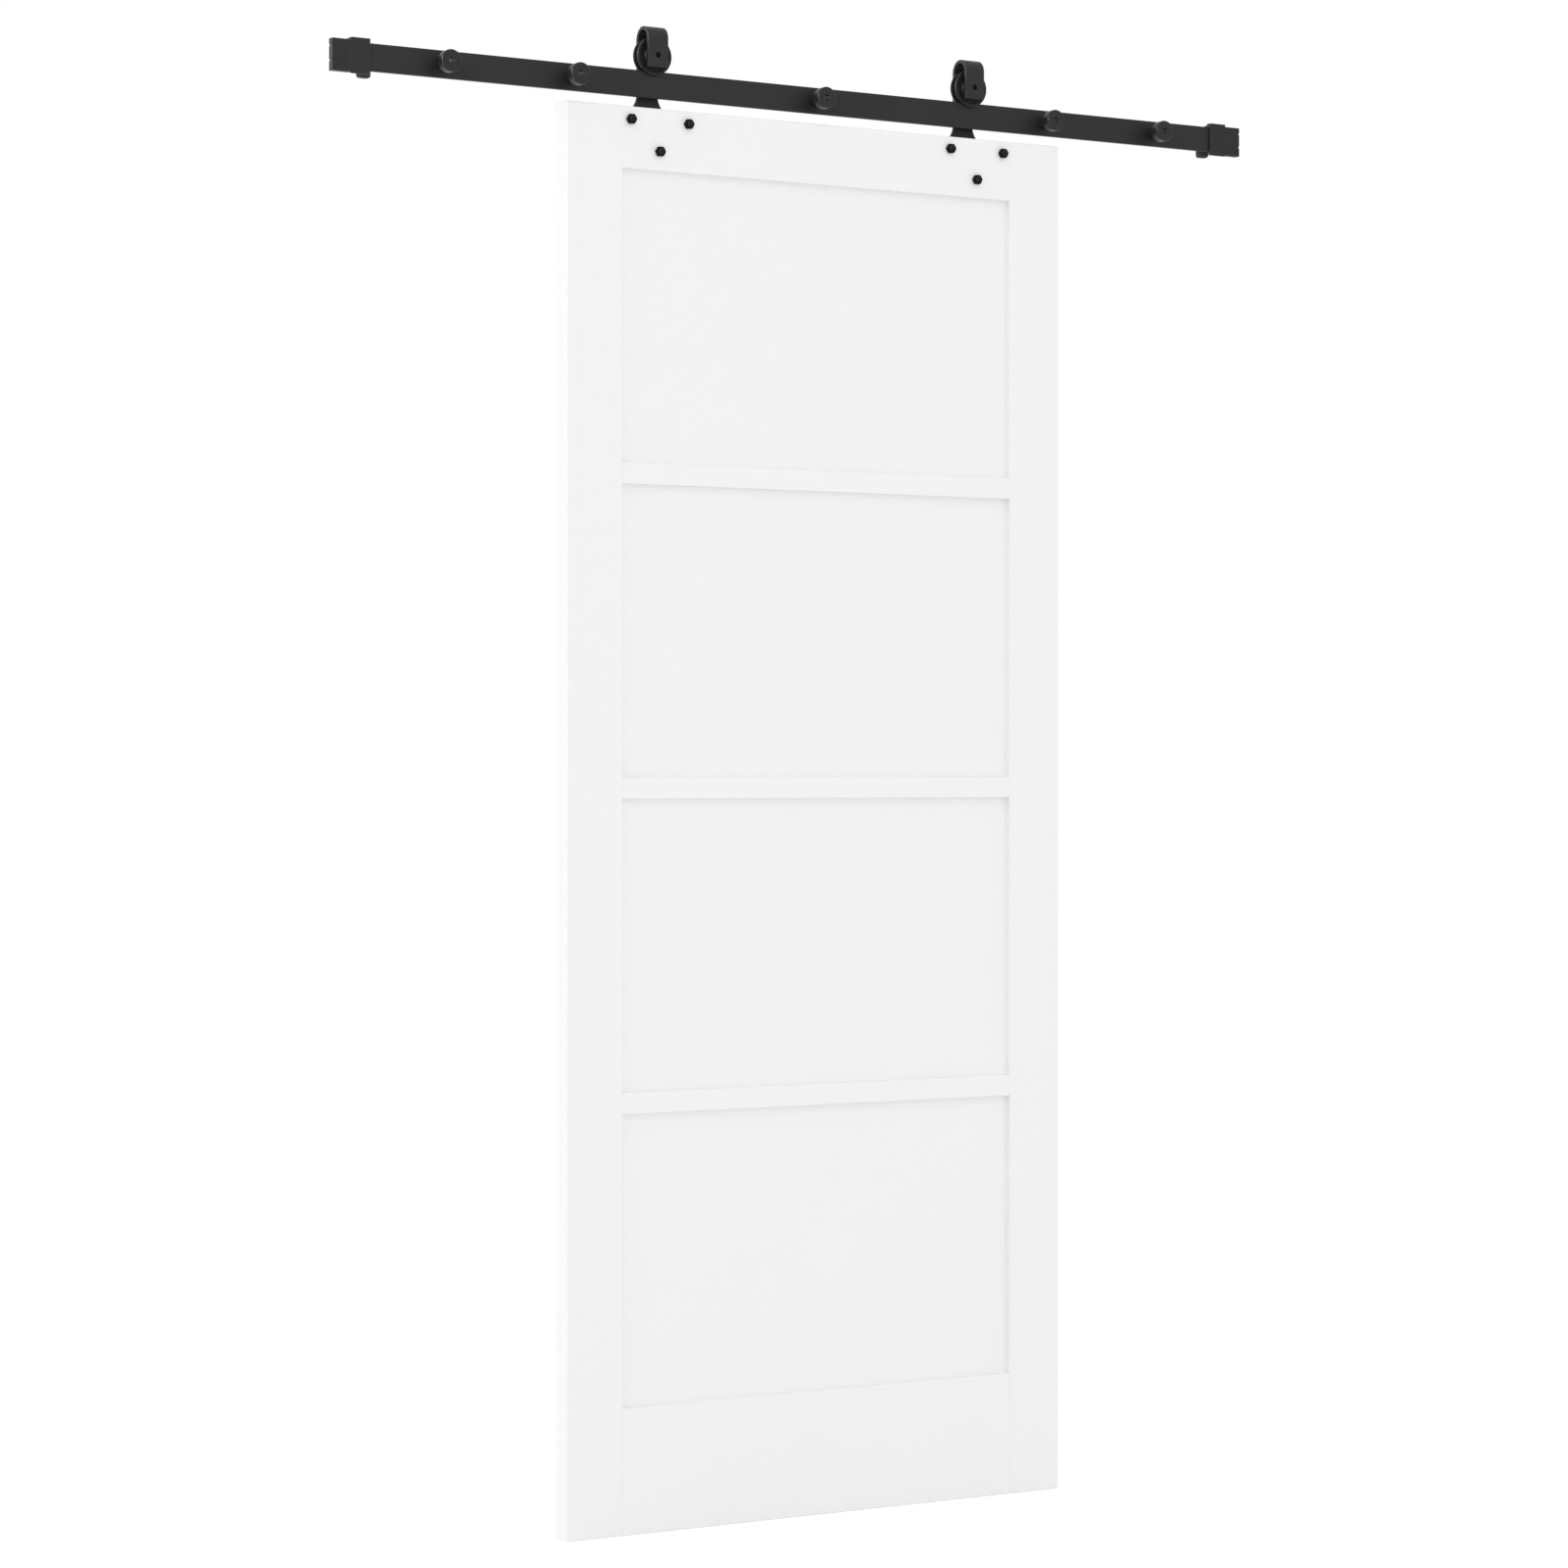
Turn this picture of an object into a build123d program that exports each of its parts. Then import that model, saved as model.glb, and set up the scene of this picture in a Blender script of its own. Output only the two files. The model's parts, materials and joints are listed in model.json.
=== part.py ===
from build123d import *
import os
from math import cos, pi, sin, sqrt

# Sliding door on a flat-bar rail, in millimetres.
# Origin: middle wall fixing, at the wall. +X along the rail, +Y from the wall into the room, +Z up.
# "Wall side" is the -Y side of a piece and "room side" its +Y side.

# Rail and wall spacers
rail_length = 1524.0
rail_height = 38.0
rail_thickness = 6.0
rail_edge_ease = 0.6
fixing_hole_radius = 4.5
fixing_end_margin = 162.0
fixing_step = 200.0
spacer_length = 35.0
spacer_setback = 3.5
spacer_head_thickness = 15.0
spacer_rim_radius = 2.0
spacer_neck_radius = 9.0

# Door leaf
door_width = 830.0
door_height = 2015.0
door_thickness = 35.0
door_gap_below_rail = 17.5
door_edge_ease = 0.8
stile_width = 88.0
top_rail_height = 88.0
mid_rail_height = 31.0
bottom_rail_height = 180.0
panel_count = 4
panel_thickness = 16.0
panel_groove_depth = 8.0
panel_edge_gap = 0.5
panel_face_clearance = 0.1
dowel_radius = 4.0
dowel_length = 60.0
dowel_end_gap = 0.5

# Hanger straps
hanger_joint_margin = 59.5
strap_width = 32.0
strap_thickness = 5.0
fork_gap = 27.0
wheel_headroom = 9.6
short_leg_below_axle = 17.5
hanger_bolt_half_pitch = 46.3
hanger_bolt_drop = 18.5
hanger_low_bolt_drop = 61.0
hanger_ear_radius = 13.0

# Hanger bolts, nuts and axle bolts
bolt_radius = 4.0
bolt_hole_clearance = 0.25
thread_gap = 0.05
bolt_head_height = 5.3
hex_across_flats = 13.0
hex_chamfer = 1.0
hex_chamfer_rise = 0.6
shank_end_chamfer = 0.5
nut_height = 6.5
bolt_tail = 2.0
axle_end_recess = 1.5
sleeve_wall = 1.8
sleeve_bore_clearance = 0.2

# Wheels
tread_radius = 21.0
tread_gap = 0.3
flange_depth = 6.5
groove_side_clearance = 0.75
groove_flank = 0.6
flange_thickness = 4.0
flange_edge_ease = 1.0
wheel_dish_depth = 2.0
wheel_dish_slope = 1.0
wheel_hub_wall = 2.8
wheel_rim_width = 4.5
wheel_lip = 1.1

# Ball bearings
bearing_bore_radius = bolt_radius
bearing_outer_radius = 11.0
inner_ring_wall = 2.0
outer_ring_wall = 1.8
race_depth = 0.35
ball_count = 7
ball_clearance = 0.1
cage_gap = 0.6
pocket_clearance = 0.15
cage_rim = 0.5
cage_shield_gap = 0.2
shield_thickness = 0.4
shield_inset = 0.3
shield_ledge = 0.5
shield_gap = 0.3
shield_seat_gap = 0.03

# End stops and end caps
cap_length = 28.0
cap_end_wall = 2.5
cap_side_wall = 2.5
cap_top_wall = 2.4
cap_bottom_wall = 3.6
cap_corner_radius = 2.0
cap_groove_width = 2.4
cap_groove_depth = 1.0
cap_groove_from_top = 9.5
cap_groove_from_bottom = 14.5
stop_width = 28.5
stop_plate_thickness = 3.5
stop_plate_overhang = 5.6
stop_block_width = 19.5
stop_edge_ease = 0.8
bumper_length = 18.0
bumper_depth = 12.0
bumper_below_rail = 7.2
bumper_nose_radius = 4.0
bumper_edge_ease = 1.2
bumper_gap = 0.3
set_screw_radius = 3.0
set_screw_half_pitch = 9.0
set_screw_end_inset = 1.0
set_screw_socket = 3.0
set_screw_socket_depth = 3.5
bumper_screw_radius = 2.5
bumper_screw_head_radius = 4.6
bumper_screw_head_height = 2.8
bumper_screw_head_round = 1.6
bumper_screw_reach = 12.0

# Places across the depth
rail_wall_face = spacer_length
rail_room_face = spacer_length + rail_thickness
rail_middle = spacer_length + rail_thickness / 2
fork_wall_inner = rail_middle - fork_gap / 2
fork_room_inner = rail_middle + fork_gap / 2
fork_wall_outer = fork_wall_inner - strap_thickness
fork_room_outer = fork_room_inner + strap_thickness
door_room_face = fork_room_inner
door_wall_face = door_room_face - door_thickness
door_middle = (door_room_face + door_wall_face) / 2
strap_middle = (fork_room_inner + fork_room_outer) / 2
groove_half = rail_thickness / 2 + groove_side_clearance
wheel_half_width = groove_half + flange_thickness

# Heights
rail_top = rail_height / 2
rail_bottom = -rail_height / 2
axle_height = rail_top + tread_gap + tread_radius
spacer_radius = rail_height / 2 - spacer_setback
flange_radius = tread_radius + flange_depth
fork_bend_height = axle_height + flange_radius + wheel_headroom - fork_gap / 2
fork_top = fork_bend_height + fork_gap / 2 + strap_thickness
door_top = rail_bottom - door_gap_below_rail
door_bottom = door_top - door_height
panel_opening = (
    door_height - top_rail_height - bottom_rail_height - (panel_count - 1) * mid_rail_height
) / panel_count

# Places along the rail
rail_end = rail_length / 2
outer_fixing = rail_end - fixing_end_margin
inner_fixing = outer_fixing - fixing_step
door_half_width = door_width / 2
door_joint = door_half_width - stile_width
hanger_place = door_joint - hanger_joint_margin
cap_outer_end = rail_end + cap_end_wall
stop_outer_edge = cap_outer_end - cap_length
stop_inner_edge = stop_outer_edge - stop_width
stop_block_inner = stop_outer_edge - stop_block_width
bumper_face = stop_block_inner - bumper_length

# Bearing and hole sizes
bolt_hole_radius = bolt_radius + bolt_hole_clearance
inner_shoulder = bearing_bore_radius + inner_ring_wall
outer_shoulder = bearing_outer_radius - outer_ring_wall
ball_pitch_radius = (inner_shoulder + outer_shoulder) / 2
ball_radius = (outer_shoulder - inner_shoulder) / 2 + race_depth
race_radius = ball_radius + ball_clearance
shield_room = shield_inset + shield_thickness
pocket_radius = ball_radius + pocket_clearance
cage_half_width = pocket_radius + cage_rim
bearing_width = 2 * (cage_half_width + cage_shield_gap + shield_room)

# Hanger plate, measured from the hanger's centre line
hanger_bolt_height = door_top - hanger_bolt_drop
hanger_low_bolt_height = door_top - hanger_low_bolt_drop
ear_top = hanger_bolt_height + hanger_ear_radius
flare_radius = hanger_bolt_half_pitch - strap_width / 2
flare_top = ear_top + flare_radius
hanger_bolt_points = [
    (-hanger_bolt_half_pitch, hanger_bolt_height),
    (hanger_bolt_half_pitch, hanger_bolt_height),
    (0.0, hanger_low_bolt_height),
]

SIDES = {"left": -1, "right": 1}


def block(x, y, z):
    """Box between two limits along each axis."""
    middle = [(low + high) / 2 for low, high in (x, y, z)]
    size = [abs(high - low) for low, high in (x, y, z)]
    return Pos(*middle) * Box(*size)


def rod_y(radius, start, end, x=0.0, z=0.0):
    """Cylinder along Y between two depths."""
    return Pos(x, (start + end) / 2, z) * Rot(90, 0, 0) * Cylinder(radius, end - start)


def rod_x(radius, start, end, y=0.0, z=0.0):
    """Cylinder along X between two places, in either order."""
    return Pos((start + end) / 2, y, z) * Rot(0, 90, 0) * Cylinder(radius, abs(end - start))


def turned(outline):
    """Solid turned about the Y axis from corners given as (radius, depth)."""
    return revolve(make_face(Polyline(*outline, close=True)), Axis.Y)


def on_depth(sketch, start, end):
    """Sketch drawn as (X, Z), made solid between two depths."""
    return extrude(Plane.XZ.offset(-start) * sketch, -(end - start))


def hexagon(start, end, chamfer_start, chamfer_end):
    """Hexagon along Y with a corner to each side, its corners cut back at the chosen ends."""
    corner = hex_across_flats / sqrt(3)
    body = on_depth(RegularPolygon(corner, 6), start, end)
    first = corner - hex_chamfer if chamfer_start else corner
    last = corner - hex_chamfer if chamfer_end else corner
    cutter = turned([(0, start), (first, start), (corner, start + hex_chamfer_rise),
                     (corner, end - hex_chamfer_rise), (last, end), (0, end)])
    return body & cutter


def make_rail():
    """Flat bar with eased edges and one hole at each wall fixing."""
    bar = block((-rail_end, rail_end), (rail_wall_face, rail_room_face), (rail_bottom, rail_top))
    bar = chamfer(bar.edges().filter_by(Axis.X), rail_edge_ease)
    for place in (-outer_fixing, -inner_fixing, 0.0, inner_fixing, outer_fixing):
        bar -= rod_y(fixing_hole_radius, rail_wall_face, rail_room_face, place)
    return bar


def make_spacer(place):
    """Spacer with a broad rounded head on the wall, a narrow neck to the rail and a through hole."""
    body = rod_y(spacer_radius, 0, spacer_head_thickness)
    body = fillet(body.edges(), spacer_rim_radius)
    body += rod_y(spacer_neck_radius, spacer_head_thickness, spacer_length)
    body -= rod_y(fixing_hole_radius, 0, spacer_length)
    return Pos(place, 0, 0) * body


def make_stop_clamp(side):
    """Saddle over the rail: thin plate on the wall side, thick block on the room side."""
    plate_face = rail_wall_face - stop_plate_thickness
    block_face = strap_middle + bumper_depth / 2
    across = (side * stop_inner_edge, side * stop_outer_edge)
    block_across = (side * stop_block_inner, side * stop_outer_edge)
    top = rail_top + stop_plate_overhang
    plate = block(across, (plate_face, rail_wall_face), (rail_bottom - stop_plate_overhang, top))
    plate = chamfer(plate.faces().sort_by(Axis.Y)[0].edges(), stop_edge_ease)
    bridge = block(across, (rail_wall_face, rail_room_face), (rail_top, top))
    body = block(block_across, (rail_room_face, block_face), (rail_bottom, top))
    body = chamfer(body.faces().sort_by(Axis.Y)[-1].edges(), stop_edge_ease)
    clamp = plate + bridge + body
    for height in (-set_screw_half_pitch, set_screw_half_pitch):
        clamp -= rod_y(set_screw_radius, rail_room_face, block_face, stop_block_middle(side), height)
    clamp -= rod_x(bumper_screw_radius, side * stop_block_inner, side * stop_outer_edge, strap_middle)
    return clamp


def stop_block_middle(side):
    """Middle of a stop's thick block along the rail."""
    return side * (stop_block_inner + stop_outer_edge) / 2


def make_set_screws(side):
    """Two socket set screws from the room side, pressed on the rail."""
    end = strap_middle + bumper_depth / 2 - set_screw_end_inset
    socket = on_depth(RegularPolygon(set_screw_socket / sqrt(3), 6), end - set_screw_socket_depth, end)
    screw = rod_y(set_screw_radius, rail_room_face, end) - socket
    place = stop_block_middle(side)
    return [Pos(place, 0, height) * screw for height in (-set_screw_half_pitch, set_screw_half_pitch)]


def make_bumper(side):
    """Rubber block with a rounded nose towards the door's hangers."""
    back = side * stop_block_inner
    nose = side * bumper_face
    depth = (strap_middle - bumper_depth / 2, strap_middle + bumper_depth / 2)
    body = block((back, nose), depth, (rail_bottom - bumper_below_rail, rail_top))
    nose_face = body.faces().sort_by(Axis.X)[-1 if side < 0 else 0]
    upright = nose_face.edges().filter_by(Axis.Z)
    body = fillet(upright, bumper_nose_radius)
    nose_face = body.faces().sort_by(Axis.X)[-1 if side < 0 else 0]
    body = chamfer(nose_face.edges().filter_by(Axis.Y), bumper_edge_ease)
    return body - rod_x(bumper_screw_radius, back, back - side * bumper_screw_reach, strap_middle)


def make_bumper_screw(side):
    """Round-headed screw through the stop's block into the rubber."""
    head_seat = side * stop_outer_edge
    tip = side * (stop_block_inner - bumper_screw_reach)
    shank = rod_x(bumper_screw_radius, head_seat, tip, strap_middle)
    head_end = head_seat + side * bumper_screw_head_height
    head = rod_x(bumper_screw_head_radius, head_seat, head_end, strap_middle)
    rim = head.edges().sort_by(Axis.X)[-1 if side > 0 else 0]
    return shank + fillet(rim, bumper_screw_head_round)


def make_end_cap(side):
    """Cap over the end of the rail, with two grooves along it."""
    across = (side * stop_outer_edge, side * cap_outer_end)
    depth = (rail_wall_face - cap_side_wall, rail_room_face + cap_side_wall)
    low = rail_bottom - cap_bottom_wall
    high = rail_top + cap_top_wall
    cap = block(across, depth, (low, high))
    outer_face = cap.faces().sort_by(Axis.X)[-1 if side > 0 else 0]
    cap = fillet(outer_face.edges(), cap_corner_radius)
    for height in (high - cap_groove_from_top, low + cap_groove_from_bottom):
        band = (height - cap_groove_width / 2, height + cap_groove_width / 2)
        inside = (depth[0] + cap_groove_depth, depth[1] - cap_groove_depth)
        core_end = side * (cap_outer_end - cap_groove_depth)
        cap -= block(across, depth, band) - block((across[0], core_end), inside, band)
    pocket = block((across[0], side * rail_end), (rail_wall_face, rail_room_face), (rail_bottom, rail_top))
    return cap - pocket


def make_framing(x, z):
    """Square-edged length of door frame with eased edges."""
    piece = block(x, (door_wall_face, door_room_face), z)
    return chamfer(piece.edges(), door_edge_ease)


def groove_depths():
    """Wall-side and room-side faces of the panel groove."""
    half = panel_thickness / 2 + panel_face_clearance
    return (door_middle - half, door_middle + half)


def make_stile(side, dowel_heights):
    """Full-height stile with a panel groove along its inner edge."""
    across = (side * door_joint, side * door_half_width)
    stile = make_framing(across, (door_bottom, door_top))
    groove_end = side * (door_joint + panel_groove_depth)
    stile -= block((side * door_joint, groove_end), groove_depths(), (door_bottom, door_top))
    hole_end = side * (door_joint + dowel_length / 2 + dowel_end_gap)
    for height in dowel_heights:
        stile -= rod_x(dowel_radius, side * door_joint, hole_end, door_middle, height)
    return stile


def make_cross_rail(low, high, groove_below, groove_above, dowel_heights):
    """Cross rail with tongues into both stiles and a panel groove on the chosen edges."""
    rail = make_framing((-door_joint, door_joint), (low, high))
    tongue_end = door_joint + panel_groove_depth - panel_edge_gap
    tongue = (door_middle - panel_thickness / 2, door_middle + panel_thickness / 2)
    rail += block((-tongue_end, tongue_end), tongue, (low, high))
    if groove_below:
        rail -= block((-tongue_end, tongue_end), groove_depths(), (low, low + panel_groove_depth))
    if groove_above:
        rail -= block((-tongue_end, tongue_end), groove_depths(), (high - panel_groove_depth, high))
    hole_end = door_joint - dowel_length / 2 - dowel_end_gap
    for height in dowel_heights:
        for side in SIDES.values():
            rail -= rod_x(dowel_radius, side * hole_end, side * tongue_end, door_middle, height)
    return rail


def make_panel(low, high):
    """Flat panel that fills an opening and reaches into the grooves around it."""
    reach = panel_groove_depth - panel_edge_gap
    half = door_joint + reach
    faces = (door_middle - panel_thickness / 2, door_middle + panel_thickness / 2)
    return block((-half, half), faces, (low - reach, high + reach))


def make_dowels(heights):
    """One dowel across each joint, on both sides of the door."""
    dowels = []
    for side in SIDES.values():
        for height in heights:
            start = side * (door_joint - dowel_length / 2)
            end = side * (door_joint + dowel_length / 2)
            dowels.append(rod_x(dowel_radius, start, end, door_middle, height))
    return dowels


def make_door():
    """Frame, panels and dowels of the door, from the top down."""
    nodes = {}
    rails = [("door_top_rail", top_rail_height, (1 / 2, 5 / 6))]
    for number in range(1, panel_count):
        rails.append(("door_mid_rail_" + str(number), mid_rail_height, (1 / 2,)))
    rails.append(("door_bottom_rail", bottom_rail_height, (1 / 6, 1 / 2, 5 / 6)))
    all_dowels = []
    high = door_top
    for number, (name, height, dowel_shares) in enumerate(rails):
        low = high - height
        dowel_heights = [high - share * height for share in dowel_shares]
        all_dowels += dowel_heights
        last = number == len(rails) - 1
        nodes[name] = make_cross_rail(low, high, not last, number > 0, dowel_heights)
        if not last:
            nodes["door_panel_" + str(number + 1)] = make_panel(low - panel_opening, low)
        high = low - panel_opening
    for place in hanger_places():
        for x, z in hanger_bolt_points:
            hole = rod_y(bolt_hole_radius, door_wall_face, door_room_face, place + x, z)
            nodes["door_top_rail"] -= hole
    for name, side in SIDES.items():
        nodes["door_" + name + "_stile"] = make_stile(side, all_dowels)
    nodes["door_dowels"] = make_dowels(all_dowels)
    return nodes


def hanger_places():
    """Both hangers' centre lines along the rail, with the door at rest."""
    return [side * hanger_place for side in SIDES.values()]


def strap_outline():
    """Long leg and bolt plate drawn flat: straight sides, flares, ears and a rounded foot."""
    half = strap_width / 2
    foot = Vector(0, hanger_low_bolt_height)
    ear = Vector(hanger_bolt_half_pitch, hanger_bolt_height)
    along = (foot - ear).normalized()
    outward = Vector(-along.Y, along.X)
    leg_top = Vector(half, fork_bend_height)
    flare_start = Vector(half, flare_top)
    flare_centre = Vector(hanger_bolt_half_pitch, flare_top)
    flare_middle = flare_centre + Vector(-1, -1).normalized() * flare_radius
    flare_end = Vector(hanger_bolt_half_pitch, ear_top)
    ear_middle = ear + (outward + Vector(0, 1)).normalized() * hanger_ear_radius
    ear_end = ear + outward * hanger_ear_radius
    foot_start = foot + outward * hanger_ear_radius
    foot_middle = foot + (outward - Vector(0, 1)).normalized() * hanger_ear_radius
    foot_bottom = foot - Vector(0, hanger_ear_radius)
    half_outline = [
        Line((0, fork_bend_height), leg_top),
        Line(leg_top, flare_start),
        ThreePointArc(flare_start, flare_middle, flare_end),
        ThreePointArc(flare_end, ear_middle, ear_end),
        Line(ear_end, foot_start),
        ThreePointArc(foot_start, foot_middle, foot_bottom),
    ]
    other_half = [mirror(edge, Plane.YZ) for edge in half_outline]
    return make_face(Curve() + half_outline + other_half)


def make_strap():
    """Strap bent into a fork over the wheel, its long leg spread into a three-bolt plate."""
    half = strap_width / 2
    short_end = axle_height - short_leg_below_axle
    across = (-half, half)
    bend = Pos(0, rail_middle, fork_bend_height) * Rot(0, 90, 0)
    outer = bend * Cylinder(fork_gap / 2 + strap_thickness, strap_width)
    inner = bend * Cylinder(fork_gap / 2, strap_width)
    below = block(across, (fork_wall_outer, fork_room_outer), (short_end, fork_bend_height))
    arch = outer - inner - below
    short_leg = block(across, (fork_wall_outer, fork_wall_inner), (short_end, fork_bend_height))
    plate = strap_outline()
    for x, z in hanger_bolt_points:
        plate -= Pos(x, z) * Circle(bolt_hole_radius)
    plate -= Pos(0, axle_height) * Circle(bolt_hole_radius)
    strap = arch + short_leg + on_depth(plate, fork_room_inner, fork_room_outer)
    thread = rod_y(bolt_radius + thread_gap, fork_wall_outer, fork_wall_inner, 0, axle_height)
    return strap - thread


def make_hanger_bolts():
    """Three hexagon bolts from the room side, through the plate and the door."""
    head = hexagon(fork_room_outer, fork_room_outer + bolt_head_height, False, True)
    shank = rod_y(bolt_radius, door_wall_face - nut_height - bolt_tail, fork_room_outer)
    shank = chamfer(shank.edges().sort_by(Axis.Y)[0], shank_end_chamfer)
    return [Pos(x, 0, z) * (head + shank) for x, z in hanger_bolt_points]


def make_hanger_nuts():
    """Three nuts on the door's wall face."""
    nut = hexagon(door_wall_face - nut_height, door_wall_face, True, False)
    nut -= rod_y(bolt_radius + thread_gap, door_wall_face - nut_height, door_wall_face)
    return [Pos(x, 0, z) * nut for x, z in hanger_bolt_points]


def make_axle_bolt():
    """Axle bolt from the room side, its end below the short leg's outer face."""
    head = hexagon(fork_room_outer, fork_room_outer + bolt_head_height, False, True)
    shank = rod_y(bolt_radius, fork_wall_outer + axle_end_recess, fork_room_outer)
    shank = chamfer(shank.edges().sort_by(Axis.Y)[0], shank_end_chamfer)
    return Pos(0, 0, axle_height) * (head + shank)


def make_axle_sleeves():
    """Two distance sleeves between the bearing's inner ring and the fork."""
    bore = bolt_radius + sleeve_bore_clearance
    spans = [
        (fork_wall_inner, rail_middle - bearing_width / 2),
        (rail_middle + bearing_width / 2, fork_room_inner),
    ]
    return [
        rod_y(bore + sleeve_wall, *span, z=axle_height) - rod_y(bore, *span, z=axle_height)
        for span in spans
    ]


def to_axle(piece):
    """Piece made about the Y axis, moved to the middle of the wheel."""
    return Pos(0, rail_middle, axle_height) * piece


def make_wheel():
    """Grooved wheel with dished faces and a seat for the bearing."""
    floor_half = groove_half - groove_flank
    half = wheel_half_width
    seat = bearing_width / 2
    lip_radius = bearing_outer_radius - wheel_lip
    dish_in = bearing_outer_radius + wheel_hub_wall
    dish_out = flange_radius - wheel_rim_width
    floor = half - wheel_dish_depth
    ease = flange_edge_ease
    outline = [
        (bearing_outer_radius, -half),
        (dish_in, -half),
        (dish_in + wheel_dish_slope, -floor),
        (dish_out - wheel_dish_slope, -floor),
        (dish_out, -half),
        (flange_radius - ease, -half),
        (flange_radius, -half + ease),
        (flange_radius, -groove_half),
        (tread_radius, -floor_half),
        (tread_radius, floor_half),
        (flange_radius, groove_half),
        (flange_radius, half - ease),
        (flange_radius - ease, half),
        (dish_out, half),
        (dish_out - wheel_dish_slope, floor),
        (dish_in + wheel_dish_slope, floor),
        (dish_in, half),
        (lip_radius, half),
        (lip_radius, seat),
        (bearing_outer_radius, seat),
    ]
    return to_axle(turned(outline))


def make_races():
    """Ring-shaped space in which the balls run."""
    return revolve(Pos(ball_pitch_radius, 0) * Circle(race_radius), Axis.Y)


def make_inner_ring():
    """Bearing ring on the axle, with its groove for the balls."""
    half = bearing_width / 2
    ring = rod_y(inner_shoulder, -half, half) - rod_y(bearing_bore_radius, -half, half)
    return to_axle(ring - make_races())


def make_outer_ring():
    """Bearing ring in the wheel, with its groove for the balls and a ledge for each shield."""
    half = bearing_width / 2
    ring = rod_y(bearing_outer_radius, -half, half) - rod_y(outer_shoulder, -half, half)
    ledge_radius = outer_shoulder + shield_ledge
    for start, end in ((-half, -half + shield_room), (half - shield_room, half)):
        ring -= rod_y(ledge_radius, start, end)
    return to_axle(ring - make_races())


def make_shields():
    """Two thin discs on the outer ring's ledges, clear of the inner ring."""
    half = bearing_width / 2
    shields = []
    for side in SIDES.values():
        start = half - shield_room
        end = half - shield_inset
        disc = rod_y(outer_shoulder + shield_ledge - shield_seat_gap, start, end)
        disc -= rod_y(inner_shoulder + shield_gap, start, end)
        shields.append(to_axle(disc if side > 0 else Rot(0, 0, 180) * disc))
    return shields


def ball_points():
    """Centres of the balls about the bearing's axis."""
    turns = [2 * pi * number / ball_count for number in range(ball_count)]
    return [(ball_pitch_radius * sin(turn), ball_pitch_radius * cos(turn)) for turn in turns]


def make_balls():
    """Balls spaced evenly round the race."""
    return [to_axle(Pos(x, 0, z) * Sphere(ball_radius)) for x, z in ball_points()]


def make_ball_cage():
    """Ring between the shoulders, with a round pocket for each ball."""
    half = cage_half_width
    ring = rod_y(outer_shoulder - cage_gap, -half, half) - rod_y(inner_shoulder + cage_gap, -half, half)
    for number in range(ball_count):
        bore = Pos(0, 0, ball_pitch_radius) * Cylinder(pocket_radius, 2 * ball_radius)
        ring -= Rot(0, 360 * number / ball_count, 0) * bore
    return to_axle(ring)


def make_track():
    """Rail, wall spacers, end stops and end caps."""
    nodes = {"rail": make_rail()}
    spacer_places = {
        "left_end": -outer_fixing,
        "left": -inner_fixing,
        "centre": 0.0,
        "right": inner_fixing,
        "right_end": outer_fixing,
    }
    for name, place in spacer_places.items():
        nodes["wall_spacer_" + name] = make_spacer(place)
    for name, side in SIDES.items():
        nodes[name + "_stop_clamp"] = make_stop_clamp(side)
        nodes[name + "_stop_set_screws"] = make_set_screws(side)
        nodes[name + "_stop_bumper"] = make_bumper(side)
        nodes[name + "_bumper_screw"] = make_bumper_screw(side)
        nodes[name + "_end_cap"] = make_end_cap(side)
    return nodes


def make_hanger():
    """One hanger with its wheel and bearing, about its own centre line."""
    return {
        "hanger_strap": make_strap(),
        "hanger_bolts": make_hanger_bolts(),
        "hanger_nuts": make_hanger_nuts(),
        "axle_bolt": make_axle_bolt(),
        "axle_sleeves": make_axle_sleeves(),
        "wheel": make_wheel(),
        "bearing_inner_ring": make_inner_ring(),
        "bearing_outer_ring": make_outer_ring(),
        "bearing_shields": make_shields(),
        "bearing_balls": make_balls(),
        "ball_cage": make_ball_cage(),
    }


def moved(shape, place):
    """Shape, or list of shapes, moved along the rail."""
    if isinstance(shape, list):
        return [Pos(place, 0, 0) * item for item in shape]
    return Pos(place, 0, 0) * shape


def slide_travel():
    """Way from the middle to either stop, where the strap's flare meets the bumper's lower edge."""
    bumper_low = rail_bottom - bumper_below_rail
    drop = max(flare_top - bumper_low, 0.0)
    flare = flare_radius - sqrt(flare_radius ** 2 - drop ** 2)
    return bumper_face - hanger_place - strap_width / 2 - flare - bumper_gap


def write_nodes(nodes):
    """One STEP file for each node; a list becomes a group of separate solids."""
    os.makedirs("parts", exist_ok=True)
    for name, shape in nodes.items():
        if isinstance(shape, list):
            shape = Compound(children=[item.solid() for item in shape])
        export_step(shape, os.path.join("parts", name + ".step"))


def main():
    nodes = make_track()
    nodes.update(make_door())
    hanger = make_hanger()
    for name, side in SIDES.items():
        for piece, shape in hanger.items():
            nodes[name + "_" + piece] = moved(shape, side * hanger_place)
    write_nodes(nodes)
    print("nodes", len(nodes))
    print("door travel each way", round(slide_travel(), 3))
    print("axle at", hanger_place, rail_middle, round(axle_height, 3))
    print("flange radius", round(flange_radius, 3), "fork top", round(fork_top, 3))
    print("ball pitch and radius", round(ball_pitch_radius, 3), round(ball_radius, 3))


main()
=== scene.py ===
# %% [markdown]
# # A sliding door on its wall rail
#
# A white panelled door hangs from two bent straps. Each strap is a fork over a grooved wheel, and the
# wheels roll along the top edge of a black flat bar. Round spacers hold the bar off the wall, and a stop at
# each end catches the door.
#
# The measured model comes first. It is loaded as a fixed frame, and every piece below is made in that same
# frame, in metres, so nothing has to be fitted by eye.

# %% the measured frame
import json
import math

import bmesh
import bpy
from mathutils import Matrix, Vector


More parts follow.
